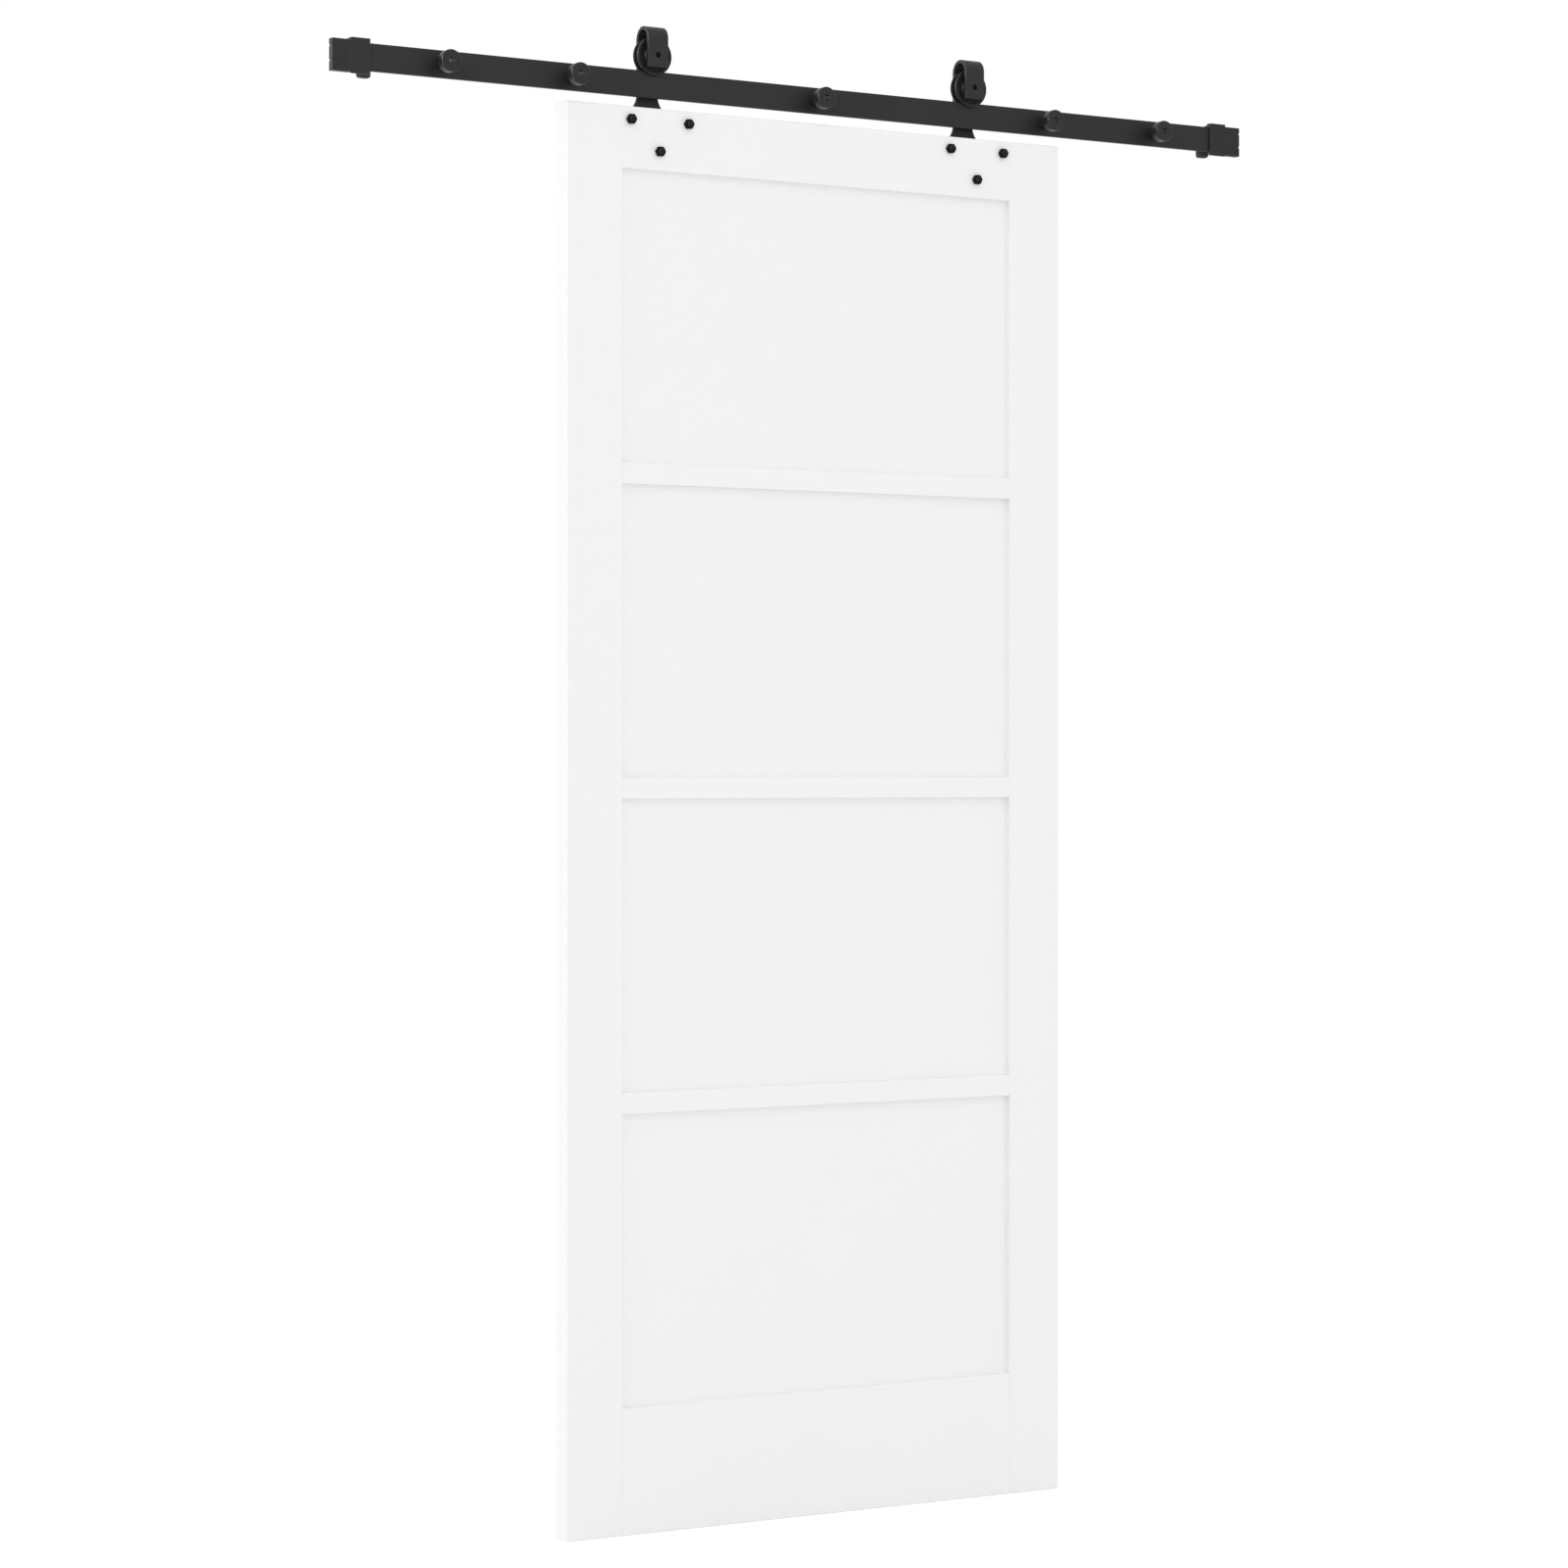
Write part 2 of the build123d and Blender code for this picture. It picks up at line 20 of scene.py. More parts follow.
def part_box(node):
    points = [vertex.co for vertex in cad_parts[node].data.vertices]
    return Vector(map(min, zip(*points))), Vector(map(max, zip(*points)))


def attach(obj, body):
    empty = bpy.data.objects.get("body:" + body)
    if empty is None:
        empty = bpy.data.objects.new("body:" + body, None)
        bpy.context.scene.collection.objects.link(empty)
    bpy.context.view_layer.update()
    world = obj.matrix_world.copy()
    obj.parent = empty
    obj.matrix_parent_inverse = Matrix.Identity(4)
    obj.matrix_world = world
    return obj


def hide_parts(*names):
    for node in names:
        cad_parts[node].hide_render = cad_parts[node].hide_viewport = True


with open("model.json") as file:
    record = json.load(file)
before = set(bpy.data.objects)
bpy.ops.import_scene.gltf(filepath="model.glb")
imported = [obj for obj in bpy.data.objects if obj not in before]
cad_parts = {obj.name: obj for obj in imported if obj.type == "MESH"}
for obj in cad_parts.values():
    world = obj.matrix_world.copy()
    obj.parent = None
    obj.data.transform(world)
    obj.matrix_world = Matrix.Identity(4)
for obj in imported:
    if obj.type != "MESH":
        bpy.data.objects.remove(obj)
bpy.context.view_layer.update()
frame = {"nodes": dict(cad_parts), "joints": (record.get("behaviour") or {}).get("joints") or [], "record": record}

MM = 0.001
SIDES = {"left": -1, "right": 1}
record = frame["record"]
slot_of = {part["node"]: part["material_slot"] for part in record["subparts"]}
body_of = {node: body for body, nodes in record["behaviour"]["bodies"].items() for node in nodes}

# %% [markdown]
# ## Finishes
#
# A finish is a small tree of nodes. Object coordinates are in metres here, because every piece sits at the
# origin, so a noise scale of 1000 makes grains of about a millimetre. These helpers keep each finish short:
# one starts the material, one adds a noise, one turns a value into a colour between two shades, one raises
# the surface a little, and one lays colour, roughness and relief on together.

# %% helpers for finishes
EDGE_MARK = "rounded_edge"
BARE_MARK = "bare_bore"


def new_finish(name, roughness, specular, metallic=0.0):
    """Material with one shader, and the Object coordinates that its patterns read."""
    material = bpy.data.materials.new(name)
    material.use_nodes = True
    tree = material.node_tree
    shader = tree.nodes["Principled BSDF"]
    shader.inputs["Roughness"].default_value = roughness
    shader.inputs["Specular IOR Level"].default_value = specular
    shader.inputs["Metallic"].default_value = metallic
    where = tree.nodes.new("ShaderNodeTexCoord").outputs["Object"]
    return material, tree, shader, where


def noise(tree, where, scale, detail=2.0):
    """Soft random value from 0 to 1."""
    node = tree.nodes.new("ShaderNodeTexNoise")
    node.inputs["Scale"].default_value = scale
    node.inputs["Detail"].default_value = detail
    tree.links.new(where, node.inputs["Vector"])
    return node.outputs["Fac"]


def stretched(tree, where, scale):
    """Coordinates pulled by a different factor along each axis, for grain and lines."""
    node = tree.nodes.new("ShaderNodeMapping")
    node.inputs["Scale"].default_value = scale
    tree.links.new(where, node.inputs["Vector"])
    return node.outputs["Vector"]


def shades(tree, value, low, high, low_shade, high_shade):
    """Colour that goes from one shade to another as a value rises from low to high."""
    node = tree.nodes.new("ShaderNodeValToRGB")
    first, last = node.color_ramp.elements
    first.position = low
    last.position = high
    first.color = (*low_shade, 1)
    last.color = (*high_shade, 1)
    tree.links.new(value, node.inputs["Fac"])
    return node.outputs["Color"]


def graded(tree, value, low, high, start, end):
    """Number that goes from start to end as a value rises from low to high."""
    node = tree.nodes.new("ShaderNodeMapRange")
    for name, number in (("From Min", low), ("From Max", high), ("To Min", start), ("To Max", end)):
        node.inputs[name].default_value = number
    tree.links.new(value, node.inputs["Value"])
    return node.outputs["Result"]


def joined(tree, operation, first, second):
    """Two values put together, as a sum or a product."""
    node = tree.nodes.new("ShaderNodeMath")
    node.operation = operation
    tree.links.new(first, node.inputs[0])
    tree.links.new(second, node.inputs[1])
    return node.outputs["Value"]


def mixed(tree, amount, under, over):
    """One colour laid over another by an amount."""
    node = tree.nodes.new("ShaderNodeMix")
    node.data_type = "RGBA"
    tree.links.new(amount, node.inputs["Factor"])
    tree.links.new(under, node.inputs["A"])
    node.inputs["B"].default_value = (*over, 1)
    return node.outputs["Result"]


def raised(tree, shader, height, distance, strength):
    """Fine relief on the surface."""
    node = tree.nodes.new("ShaderNodeBump")
    node.inputs["Distance"].default_value = distance
    node.inputs["Strength"].default_value = strength
    tree.links.new(height, node.inputs["Height"])
    tree.links.new(node.outputs["Normal"], shader.inputs["Normal"])


def laid_on(tree, shader, colour, patches, roughness, relief, height):
    """Gives a shader its colour, a roughness that follows the patches, and its relief."""
    tree.links.new(colour, shader.inputs["Base Color"])
    tree.links.new(graded(tree, patches, 0.3, 0.7, *roughness), shader.inputs["Roughness"])
    raised(tree, shader, relief, *height)


def marked(tree, name):
    """One on the faces that carry a mark, and zero on the rest."""
    node = tree.nodes.new("ShaderNodeAttribute")
    node.attribute_name = name
    return node.outputs["Fac"]


def edge_rub(tree, where, patch_scale, least, most):
    """How far the edges are painted paler, as wear and as a painted highlight: the faces marked as rounded edges,
    broken up into patches.
    """
    patches = graded(tree, noise(tree, where, patch_scale, 4.0), 0.4, 0.7, least, most)
    return joined(tree, "MULTIPLY", marked(tree, EDGE_MARK), patches)


# %% [markdown]
# ### Black powder coat
#
# The rail, the straps, the spacers and the stops are steel with a baked black powder on it. Close up, such
# a coat is a field of tiny melted grains, and it thins out on the edges. A photograph of the coat as an
# image would repeat along the bar, so the grains are a noise, and the edges are painted paler on the faces
# that carry a mark for a rounded edge: partly the worn, thin coat, and partly a painted highlight. How
# rough it is depends on the steel below, so that is chosen for each use. The holes for the wall screws are
# plugged while the powder goes on, so a second mark leaves them bare, dark steel.

# %% black powder coat
def powder_coat(name, smoothest, roughest, relief):
    material, tree, shader, where = new_finish(name, roughest, 0.26)
    grains = noise(tree, where, 1400.0, 3.0)
    clouds = noise(tree, where, 9.0, 3.0)
    coat = shades(tree, clouds, 0.3, 0.7, (0.0142, 0.0142, 0.0146), (0.0178, 0.0178, 0.0181))
    # Rounded edges painted paler: partly worn coat, partly a painted highlight.
    coat = mixed(tree, edge_rub(tree, where, 260.0, 0.0, 0.45), coat, (0.055, 0.055, 0.056))
    bare = marked(tree, BARE_MARK)
    coat = mixed(tree, bare, coat, (0.34, 0.34, 0.35))
    tree.links.new(bare, shader.inputs["Metallic"])
    laid_on(tree, shader, coat, grains, (smoothest, roughest), grains, (0.00012, relief))
    return material


# %% [markdown]
# ### Black screws, nylon, rubber and moulded caps
#
# The bolts and nuts are blackened in a bath, which leaves steel darker than paint does and smoother. The
# wheels are turned nylon, with faint rings from the tool. The bumpers are rubber, and the caps are moulded
# with a fine grain. Each one is the same recipe with its own grain size, relief and sheen, because their
# differences in the hand are just those three things.

# %% black screws, nylon, rubber and moulded caps
def black_oxide():
    material, tree, shader, where = new_finish("black_oxide_steel", 0.42, 0.045)
    bath = noise(tree, where, 160.0, 4.0)
    tone = shades(tree, bath, 0.3, 0.7, (0.0030, 0.0030, 0.0032), (0.0060, 0.0060, 0.0063))
    # Rounded edges painted much paler: partly worn oxide, partly a painted highlight.
    tone = mixed(tree, edge_rub(tree, where, 500.0, 0.45, 0.9), tone, (0.150, 0.150, 0.153))
    laid_on(tree, shader, tone, bath, (0.34, 0.50), noise(tree, where, 2600.0), (0.00005, 0.25))
    return material


def turned_nylon(axles):
    """Rings about each axle, drawn as waves in the distance from it."""
    material, tree, shader, where = new_finish("turned_black_nylon", 0.40, 0.20)
    grain = noise(tree, where, 500.0, 3.0)
    tone = shades(tree, grain, 0.3, 0.7, (0.0110, 0.0110, 0.0114), (0.0160, 0.0160, 0.0164))
    # Rounded edges painted paler: partly worn nylon, partly a painted highlight.
    tone = mixed(tree, edge_rub(tree, where, 420.0, 0.0, 0.4), tone, (0.036, 0.036, 0.037))
    rings = []
    for axle in axles:
        centred = tree.nodes.new("ShaderNodeMapping")
        centred.inputs["Location"].default_value = -axle
        tree.links.new(where, centred.inputs["Vector"])
        flat = stretched(tree, centred.outputs["Vector"], (1.0, 0.0, 1.0))
        wave = tree.nodes.new("ShaderNodeTexWave")
        wave.wave_type = "RINGS"
        wave.rings_direction = "Y"
        wave.inputs["Scale"].default_value = 190.0
        wave.inputs["Distortion"].default_value = 0.6
        tree.links.new(flat, wave.inputs["Vector"])
        rings.append(wave.outputs["Fac"])
    across = tree.nodes.new("ShaderNodeSeparateXYZ")
    tree.links.new(where, across.inputs["Vector"])
    side = graded(tree, across.outputs["X"], -0.001, 0.001, 0.0, 1.0)
    chosen = tree.nodes.new("ShaderNodeMix")
    tree.links.new(side, chosen.inputs["Factor"])
    tree.links.new(rings[0], chosen.inputs["A"])
    tree.links.new(rings[1], chosen.inputs["B"])
    laid_on(tree, shader, tone, grain, (0.34, 0.46), chosen.outputs["Result"], (0.00003, 0.30))
    return material


def bumper_rubber():
    material, tree, shader, where = new_finish("bumper_rubber", 0.72, 0.22)
    bloom = noise(tree, where, 70.0, 5.0)
    tone = shades(tree, bloom, 0.25, 0.75, (0.0330, 0.0330, 0.0330), (0.0520, 0.0520, 0.0510))
    laid_on(tree, shader, tone, bloom, (0.66, 0.80), noise(tree, where, 1900.0, 3.0), (0.00010, 0.40))
    return material


def grained_cap():
    material, tree, shader, where = new_finish("grained_cap_plastic", 0.50, 0.34)
    grain = noise(tree, where, 1700.0, 2.0)
    flow = noise(tree, stretched(tree, where, (30.0, 60.0, 60.0)), 1.0, 3.0)
    tone = shades(tree, flow, 0.3, 0.7, (0.0060, 0.0060, 0.0062), (0.0090, 0.0090, 0.0092))
    # Rounded edges painted paler: partly worn plastic, partly a painted highlight.
    tone = mixed(tree, edge_rub(tree, where, 300.0, 0.0, 0.35), tone, (0.030, 0.030, 0.031))
    laid_on(tree, shader, tone, grain, (0.44, 0.56), grain, (0.00012, 0.40))
    return material


# %% [markdown]
# ### White door paint
#
# The door is board with a sprayed satin paint. Sprayed paint dries with a very shallow dimple, called
# orange peel, two or three millimetres across, and its white is never quite even. Both are far too weak to
# see from across the room, yet they keep the door from looking like paper when the light slides along it.

# %% white door paint
def sprayed_paint():
    material, tree, shader, where = new_finish("white_satin_paint", 0.42, 0.30)
    drift = noise(tree, where, 2.2, 3.0)
    white = shades(tree, drift, 0.35, 0.65, (0.866, 0.874, 0.872), (0.874, 0.872, 0.869))
    peel = noise(tree, where, 420.0, 2.0)
    fibres = noise(tree, stretched(tree, where, (900.0, 900.0, 60.0)), 1.0, 2.0)
    relief = joined(tree, "ADD", peel, graded(tree, fibres, 0.0, 1.0, 0.0, 0.35))
    laid_on(tree, shader, white, peel, (0.38, 0.47), relief, (0.00008, 0.22))
    return material


# %% [markdown]
# ### Steel, zinc and beech inside
#
# The bearings, the sleeves on the axles and the dowels in the door's joints are hardly seen, but they are
# real pieces. Ground steel, blued dark, carries fine lines, black zinc plating has soft patches, and beech
# is brown with short dark flecks along the grain.

# %% steel, zinc and beech inside
def ground_steel():
    material, tree, shader, where = new_finish("dark_ground_steel", 0.22, 0.5, 1.0)
    lines = noise(tree, stretched(tree, where, (300.0, 6000.0, 300.0)), 1.0, 3.0)
    tone = shades(tree, lines, 0.3, 0.7, (0.135, 0.135, 0.140), (0.185, 0.185, 0.190))
    laid_on(tree, shader, tone, lines, (0.16, 0.30), lines, (0.00002, 0.2))
    return material


def zinc_plate():
    material, tree, shader, where = new_finish("black_zinc_plate", 0.34, 0.5, 1.0)
    patches = noise(tree, where, 240.0, 4.0)
    tone = shades(tree, patches, 0.3, 0.7, (0.042, 0.042, 0.044), (0.060, 0.060, 0.062))
    laid_on(tree, shader, tone, patches, (0.26, 0.42), noise(tree, where, 1500.0), (0.00003, 0.2))
    return material


def beech():
    material, tree, shader, where = new_finish("bare_beech", 0.62, 0.3)
    grain = noise(tree, stretched(tree, where, (40.0, 420.0, 420.0)), 1.0, 4.0)
    flecks = noise(tree, stretched(tree, where, (160.0, 2200.0, 2200.0)), 1.0, 2.0)
    wood = shades(tree, grain, 0.3, 0.7, (0.46, 0.30, 0.17), (0.64, 0.47, 0.30))
    wood = mixed(tree, graded(tree, flecks, 0.62, 0.75, 0.0, 0.6), wood, (0.22, 0.12, 0.06))
    tree.links.new(wood, shader.inputs["Base Color"])
    raised(tree, shader, grain, 0.0001, 0.3)
    return material


axles = {
    joint["name"].split("_")[0]: Vector(joint["pos_m"])
    for joint in frame["joints"]
    if joint["name"].endswith("_wheel_spin")
}
finishes = {
    "black_coated_steel": powder_coat("black_powder_coat", 0.40, 0.52, 0.55),
    "black_screw_steel": black_oxide(),
    "black_nylon": turned_nylon([axles["left"], axles["right"]]),
    "bumper_rubber": bumper_rubber(),
    "cap_plastic": grained_cap(),
    "bearing_steel": ground_steel(),
    "zinc_steel": zinc_plate(),
    "white_door_paint": sprayed_paint(),
    "dowel_wood": beech(),
}
print("finishes:", ", ".join(finishes))

# %% [markdown]
# ## Workshop helpers
#
# Every visible piece is modelled anew with rounded edges, because light on a rounded edge is what makes
# steel look like steel. A piece is made as a bmesh, closed and turned to face outwards. It then rides on
# the same body as the measured node that it stands for, takes the finish of that node's slot, and hides the
# node. The Weighted Normal modifier keeps large flats flat right up to their rounded edges.

# %% from a bmesh to a riding piece
WELD = 0.001 * MM
LOOSE_WELD = 0.01 * MM
SHARP = math.radians(38)
NARROW = 1.0 * MM
BENT = math.radians(11)
# How pale a bolt's tip is painted: partly wear from the nut, partly a painted highlight.
TIP_WEAR_AND_HIGHLIGHT = 0.12


def rounds_an_edge(face):
    """Tells a narrow face that bends outwards along one of its edges."""
    for edge in face.edges:
        width = face.calc_area() / edge.calc_length()
        if width < NARROW and edge.calc_face_angle_signed(0.0) > BENT:
            return True
    return False


def mark_rubbed_faces(bm, tip_depth):
    """Marks the faces that round an edge, or lie on a bolt's tip, for the finishes to paint paler as wear and as a
    painted highlight.
    """
    mark = bm.faces.layers.float.new(EDGE_MARK)
    for face in bm.faces:
        face[mark] = 1.0 if rounds_an_edge(face) else 0.0
        if face.calc_center_median().y < tip_depth:
            face[mark] = TIP_WEAR_AND_HIGHLIGHT


def show_piece(bm, name, node, worn_and_highlit=True, tip_depth=-1.0, finish=None):
    """Makes a bmesh the piece that stands for a measured node.

    A bolt's tip is painted pale up to a depth, as wear and as a painted highlight. The finish is the slot's own,
    unless another one is given.
    """
    bmesh.ops.remove_doubles(bm, verts=bm.verts, dist=WELD)
    bmesh.ops.dissolve_degenerate(bm, dist=WELD, edges=bm.edges)
    bmesh.ops.recalc_face_normals(bm, faces=bm.faces)
    if worn_and_highlit:
        mark_rubbed_faces(bm, tip_depth)
    open_edges = sum(1 for edge in bm.edges if len(edge.link_faces) != 2)
    mesh = bpy.data.meshes.new(name)
    bm.to_mesh(mesh)
    bm.free()
    mesh.shade_smooth()
    mesh.set_sharp_from_angle(angle=SHARP)
    mesh.materials.append(finish or finishes[slot_of[node]])
    piece = bpy.data.objects.new(name, mesh)
    bpy.context.scene.collection.objects.link(piece)
    even = piece.modifiers.new("even_flats", "WEIGHTED_NORMAL")
    even.keep_sharp = True
    even.weight = 90
    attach(piece, body_of[node])
    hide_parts(node)
    print(name, "stands for", node, "-", len(mesh.polygons), "faces,", open_edges, "open edges")
    return piece


# %% [markdown]
# A block is a cube scaled to its two corners. Sharp edges are found by the angle between their faces, and a
# bevel with a few segments rounds them. A face is picked by naming a point close to its middle, as one
# would click on it, or by the plane that it lies in.

# %% blocks, picked faces and rounded edges
def block(low, high):
    """New bmesh: a box between two corners."""
    low = Vector(low)
    high = Vector(high)
    bm = bmesh.new()
    place = Matrix.Translation((low + high) / 2) @ Matrix.Diagonal((*(high - low), 1))
    bmesh.ops.create_cube(bm, size=1.0, matrix=place)
    return bm


CORNER = math.radians(50)


def sharp_edges(bm):
    """Edges whose two faces meet at a corner."""
    return [edge for edge in bm.edges if len(edge.link_faces) == 2 and edge.calc_face_angle() > CORNER]


def round_edges(bm, edges, radius, segments=3):
    """Rounds the given edges."""
    bmesh.ops.bevel(
        bm, geom=edges, offset=radius, offset_type="OFFSET", affect="EDGES",
        segments=segments, profile=0.5, material=-1, clamp_overlap=True,
    )


def lies_at(item, axis, value):
    """Tells whether all the points of an edge or a face lie at one value along an axis."""
    return all(abs(vert.co["xyz".index(axis)] - value) < WELD for vert in item.verts)


def pick_face(bm, point):
    """Face whose middle lies closest to a point."""
    return min(bm.faces, key=lambda face: (face.calc_center_bounds() - Vector(point)).length)


def pull_face(bm, face, shift):
    """Pulls a face out, or pushes it in, and returns it in its new place."""
    made = bmesh.ops.extrude_discrete_faces(bm, faces=[face])["faces"][0]
    bmesh.ops.translate(bm, verts=made.verts, vec=Vector(shift))
    return made


def slice_at(bm, axis, value, faces=None):
    """Cuts new edges into faces where a plane across one axis meets them."""
    normal = Vector([1.0 if axis == letter else 0.0 for letter in "xyz"])
    chosen = faces or bm.faces[:]
    edges = {edge for face in chosen for edge in face.edges}
    verts = {vert for face in chosen for vert in face.verts}
    bmesh.ops.bisect_plane(
        bm, geom=[*verts, *edges, *chosen], dist=WELD, plane_co=normal * value, plane_no=normal,
    )


# %% [markdown]
# ### Holes
#
# A Boolean would drill a hole in one step, but it leaves thin slivers that spoil a rounded rim. Here a
# square cell is sliced out of the two flat faces around the hole. Each cell's edges get more points, its
# face is inset, and the inner ring is pushed out to a circle. The two circles are then bridged to make the
# wall of the hole.

# %% holes
CELL_CUTS = 7
CELL_MARGIN = 0.2


def bore(bm, x, z, radius, near, far, cell):
    """Round hole along Y through the wall between two flat faces."""
    for axis, value in (("x", x - cell), ("x", x + cell), ("z", z - cell), ("z", z + cell)):
        wall = [face for face in bm.faces if near - WELD < face.calc_center_median().y < far + WELD]
        slice_at(bm, axis, value, wall)
    rims = []
    for depth in (near, far):
        centre = Vector((x, depth, z))
        face = pick_face(bm, centre)
        bmesh.ops.bisect_edges(bm, edges=face.edges[:], cuts=CELL_CUTS)
        bmesh.ops.inset_individual(bm, faces=[face], thickness=cell * CELL_MARGIN, use_even_offset=True)
        for vert in face.verts:
            vert.co = centre + (vert.co - centre).normalized() * radius
        rims += face.edges[:]
        bmesh.ops.delete(bm, geom=[face], context="FACES_ONLY")
    bmesh.ops.bridge_loops(bm, edges=rims)


# %% [markdown]
# ### Turned pieces
#
# Wheels, spacers, sleeves and bolts come off a lathe. Half of the section is drawn as a flat face of
# (radius, depth) corners, its chosen corners are rounded with a vertex bevel, and the outline is spun about
# the axis. An edge on the axis itself is left out, since it would only spin into a line.

# %% turned pieces
LATHE_STEPS = 72


def turn(bm, outline, centre, roundings=(), steps=LATHE_STEPS):
    """Spins a closed outline about a line along Y, and returns the new vertices."""
    before = set(bm.verts)
    corners = [bm.verts.new((radius, depth, 0.0)) for radius, depth in outline]
    bm.faces.new(corners)
    for radius, numbers in roundings:
        bmesh.ops.bevel(
            bm, geom=[corners[number] for number in numbers], offset=radius, offset_type="OFFSET",
            affect="VERTICES", segments=4, profile=0.5, material=-1,
        )
    section = [vert for vert in bm.verts if vert not in before]
    flat = {face for vert in section for face in vert.link_faces}
    line = {edge for face in flat for edge in face.edges}
    on_axis = [edge for edge in line if max(abs(vert.co.x) for vert in edge.verts) < LOOSE_WELD]
    bmesh.ops.delete(bm, geom=list(flat), context="FACES_ONLY")
    bmesh.ops.delete(bm, geom=on_axis, context="EDGES")
    line = [edge for edge in line if edge.is_valid]
    bmesh.ops.spin(
        bm, geom=line, cent=(0, 0, 0), axis=(0, 1, 0), angle=math.tau, steps=steps, use_merge=True,
    )
    made = [vert for vert in bm.verts if vert not in before]
    bmesh.ops.translate(bm, verts=made, vec=Vector((centre[0], 0, centre[1])))
    return made


# %% [markdown]
# ## The rail
#
# The rail is a flat steel bar on edge, with a hole behind each spacer for the wall screw. It starts as a
# block. The five holes are bored while its faces are still plain, and then all its sharp edges are rounded,
# the long ones more than the rims of the holes.

# %% the rail
HOLE_RADIUS = 4.5 * MM
HOLE_CELL = 9.0 * MM
RAIL_ROUND = 0.8 * MM
RIM_ROUND = 0.4 * MM
spacer_nodes = ["wall_spacer_" + place for place in ("left_end", "left", "centre", "right", "right_end")]
spacer_places = [sum(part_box(node), Vector()).x / 2 for node in spacer_nodes]
rail_low, rail_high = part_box("rail")


def mark_bores(bm):
    """Marks the walls of the holes for the wall screws as bare steel."""
    mark = bm.faces.layers.float.new(BARE_MARK)
    for face in bm.faces:
        place = min(spacer_places, key=lambda x: abs(x - face.verts[0].co.x))
        reaches = [math.hypot(vert.co.x - place, vert.co.z) for vert in face.verts]
        if max(abs(reach - HOLE_RADIUS) for reach in reaches) < LOOSE_WELD:
            face[mark] = 1.0


def rims_of_holes(bar):
    """Sharp edges close to the bar's middle line, but not at its ends."""
    rims = [edge for edge in sharp_edges(bar) if max(abs(vert.co.z) for vert in edge.verts) < HOLE_CELL]
    return [edge for edge in rims if abs(edge.verts[0].co.x) < rail_high.x - HOLE_CELL]


def make_rail():
    bar = block(rail_low, rail_high)
    for place in spacer_places:
        bore(bar, place, 0.0, HOLE_RADIUS, rail_low.y, rail_high.y, HOLE_CELL)
    rims = set(rims_of_holes(bar))
    round_edges(bar, [edge for edge in sharp_edges(bar) if edge not in rims], RAIL_ROUND)
    round_edges(bar, rims_of_holes(bar), RIM_ROUND, 2)
    mark_bores(bar)
    show_piece(bar, "rail_bar", "rail")


make_rail()

# %% [markdown]
# ## The wall spacers
#
# A spacer is turned like a mushroom: a broad, thick head lies on the wall, and a narrow neck carries the
# rail, so that the wheel's flange can pass above it. The coat lies smoother on turned steel than on the
# rolled bar. The left side of each head therefore mirrors the sky and the door, as the bright crescents
# along the bar.

# %% the wall spacers
SPACER_RADIUS = 15.5 * MM
NECK_RADIUS = 9.0 * MM
NECK_START = 15.0 * MM
SPACER_ROUND = 2.0 * MM
SPACER_EASE = 0.5 * MM
spacer_coat = powder_coat("smooth_powder_coat", 0.30, 0.42, 0.40)


def make_spacers():
    outline = [
        (HOLE_RADIUS, 0.0),
        (SPACER_RADIUS, 0.0),
        (SPACER_RADIUS, NECK_START),
        (NECK_RADIUS, NECK_START),
        (NECK_RADIUS, rail_low.y),
        (HOLE_RADIUS, rail_low.y),
    ]
    for node, place in zip(spacer_nodes, spacer_places):
        post = bmesh.new()
        turn(post, outline, (place, 0.0), [(SPACER_ROUND, (1, 2)), (SPACER_EASE, (0, 3))])
        mark_bores(post)
        show_piece(post, node + "_post", node, worn_and_highlit=False, finish=spacer_coat)


make_spacers()

# %% [markdown]
# ## Nuts and bolts
#
# A nut is turned as a round ring first. Then every point of its rim is pushed out to the nearest of six
# flats, and the points at the corners, which come out furthest, drop back along the chamfer. That gives the
# curved line which a real nut shows on each flat. A bolt head is the same shape without the hole.

# %% nuts and bolt heads
FLAT_HALF = 6.5 * MM
FACE_RADIUS = 6.2 * MM
CHAMFER_SLOPE = math.tan(math.radians(30))
HEX_TURN = math.radians(60)


def press_flats(verts, centre, low, high, chamfer_low, chamfer_high):
    """Pushes a turned rim out to six flats, with a corner to each side."""
    middle = (low + high) / 2
    for vert in verts:
        across = Vector((vert.co.x - centre[0], vert.co.z - centre[1]))
        if across.length < FACE_RADIUS + LOOSE_WELD:
            continue
        angle = math.atan2(across.y, across.x) % HEX_TURN - HEX_TURN / 2
        radius = FLAT_HALF / math.cos(angle)
        across = across.normalized() * radius
        drop = (radius - FACE_RADIUS) * CHAMFER_SLOPE
        if vert.co.y < middle:
            vert.co.y = low + (drop if chamfer_low else 0.0)
        else:
            vert.co.y = high - (drop if chamfer_high else 0.0)
        vert.co.x = centre[0] + across.x
        vert.co.z = centre[1] + across.y


def hexagon(bm, centre, low, high, hole, chamfer_low, chamfer_high):
    """Nut, or bolt head if the hole is zero, between two depths."""
    rim = FLAT_HALF
    outline = [(hole, low), (FACE_RADIUS, low), (rim, low), (rim, high), (FACE_RADIUS, high), (hole, high)]
    made = turn(bm, outline, centre)
    press_flats(made, centre, low, high, chamfer_low, chamfer_high)


# %% [markdown]
# A screw thread is one V that is turned while it climbs: the same spin as on the lathe, with a small step
# along the axis each time. Neighbouring turns share their points, so they weld into one skin. The ends are
# cut square and closed, and the free end is drawn out into a short cone. That cone is painted pale, partly
# as the rub of the nut run down over it and partly as a painted highlight, and it is the pale spot in the
# middle of each nut.

# %% threads and bolts
BOLT_RADIUS = 4.0 * MM
THREAD_PITCH = 1.25 * MM
THREAD_DEPTH = 0.65 * MM
THREAD_STEPS = 32
TIP_CONE = 1.1 * MM
HEAD_HEIGHT = 5.3 * MM


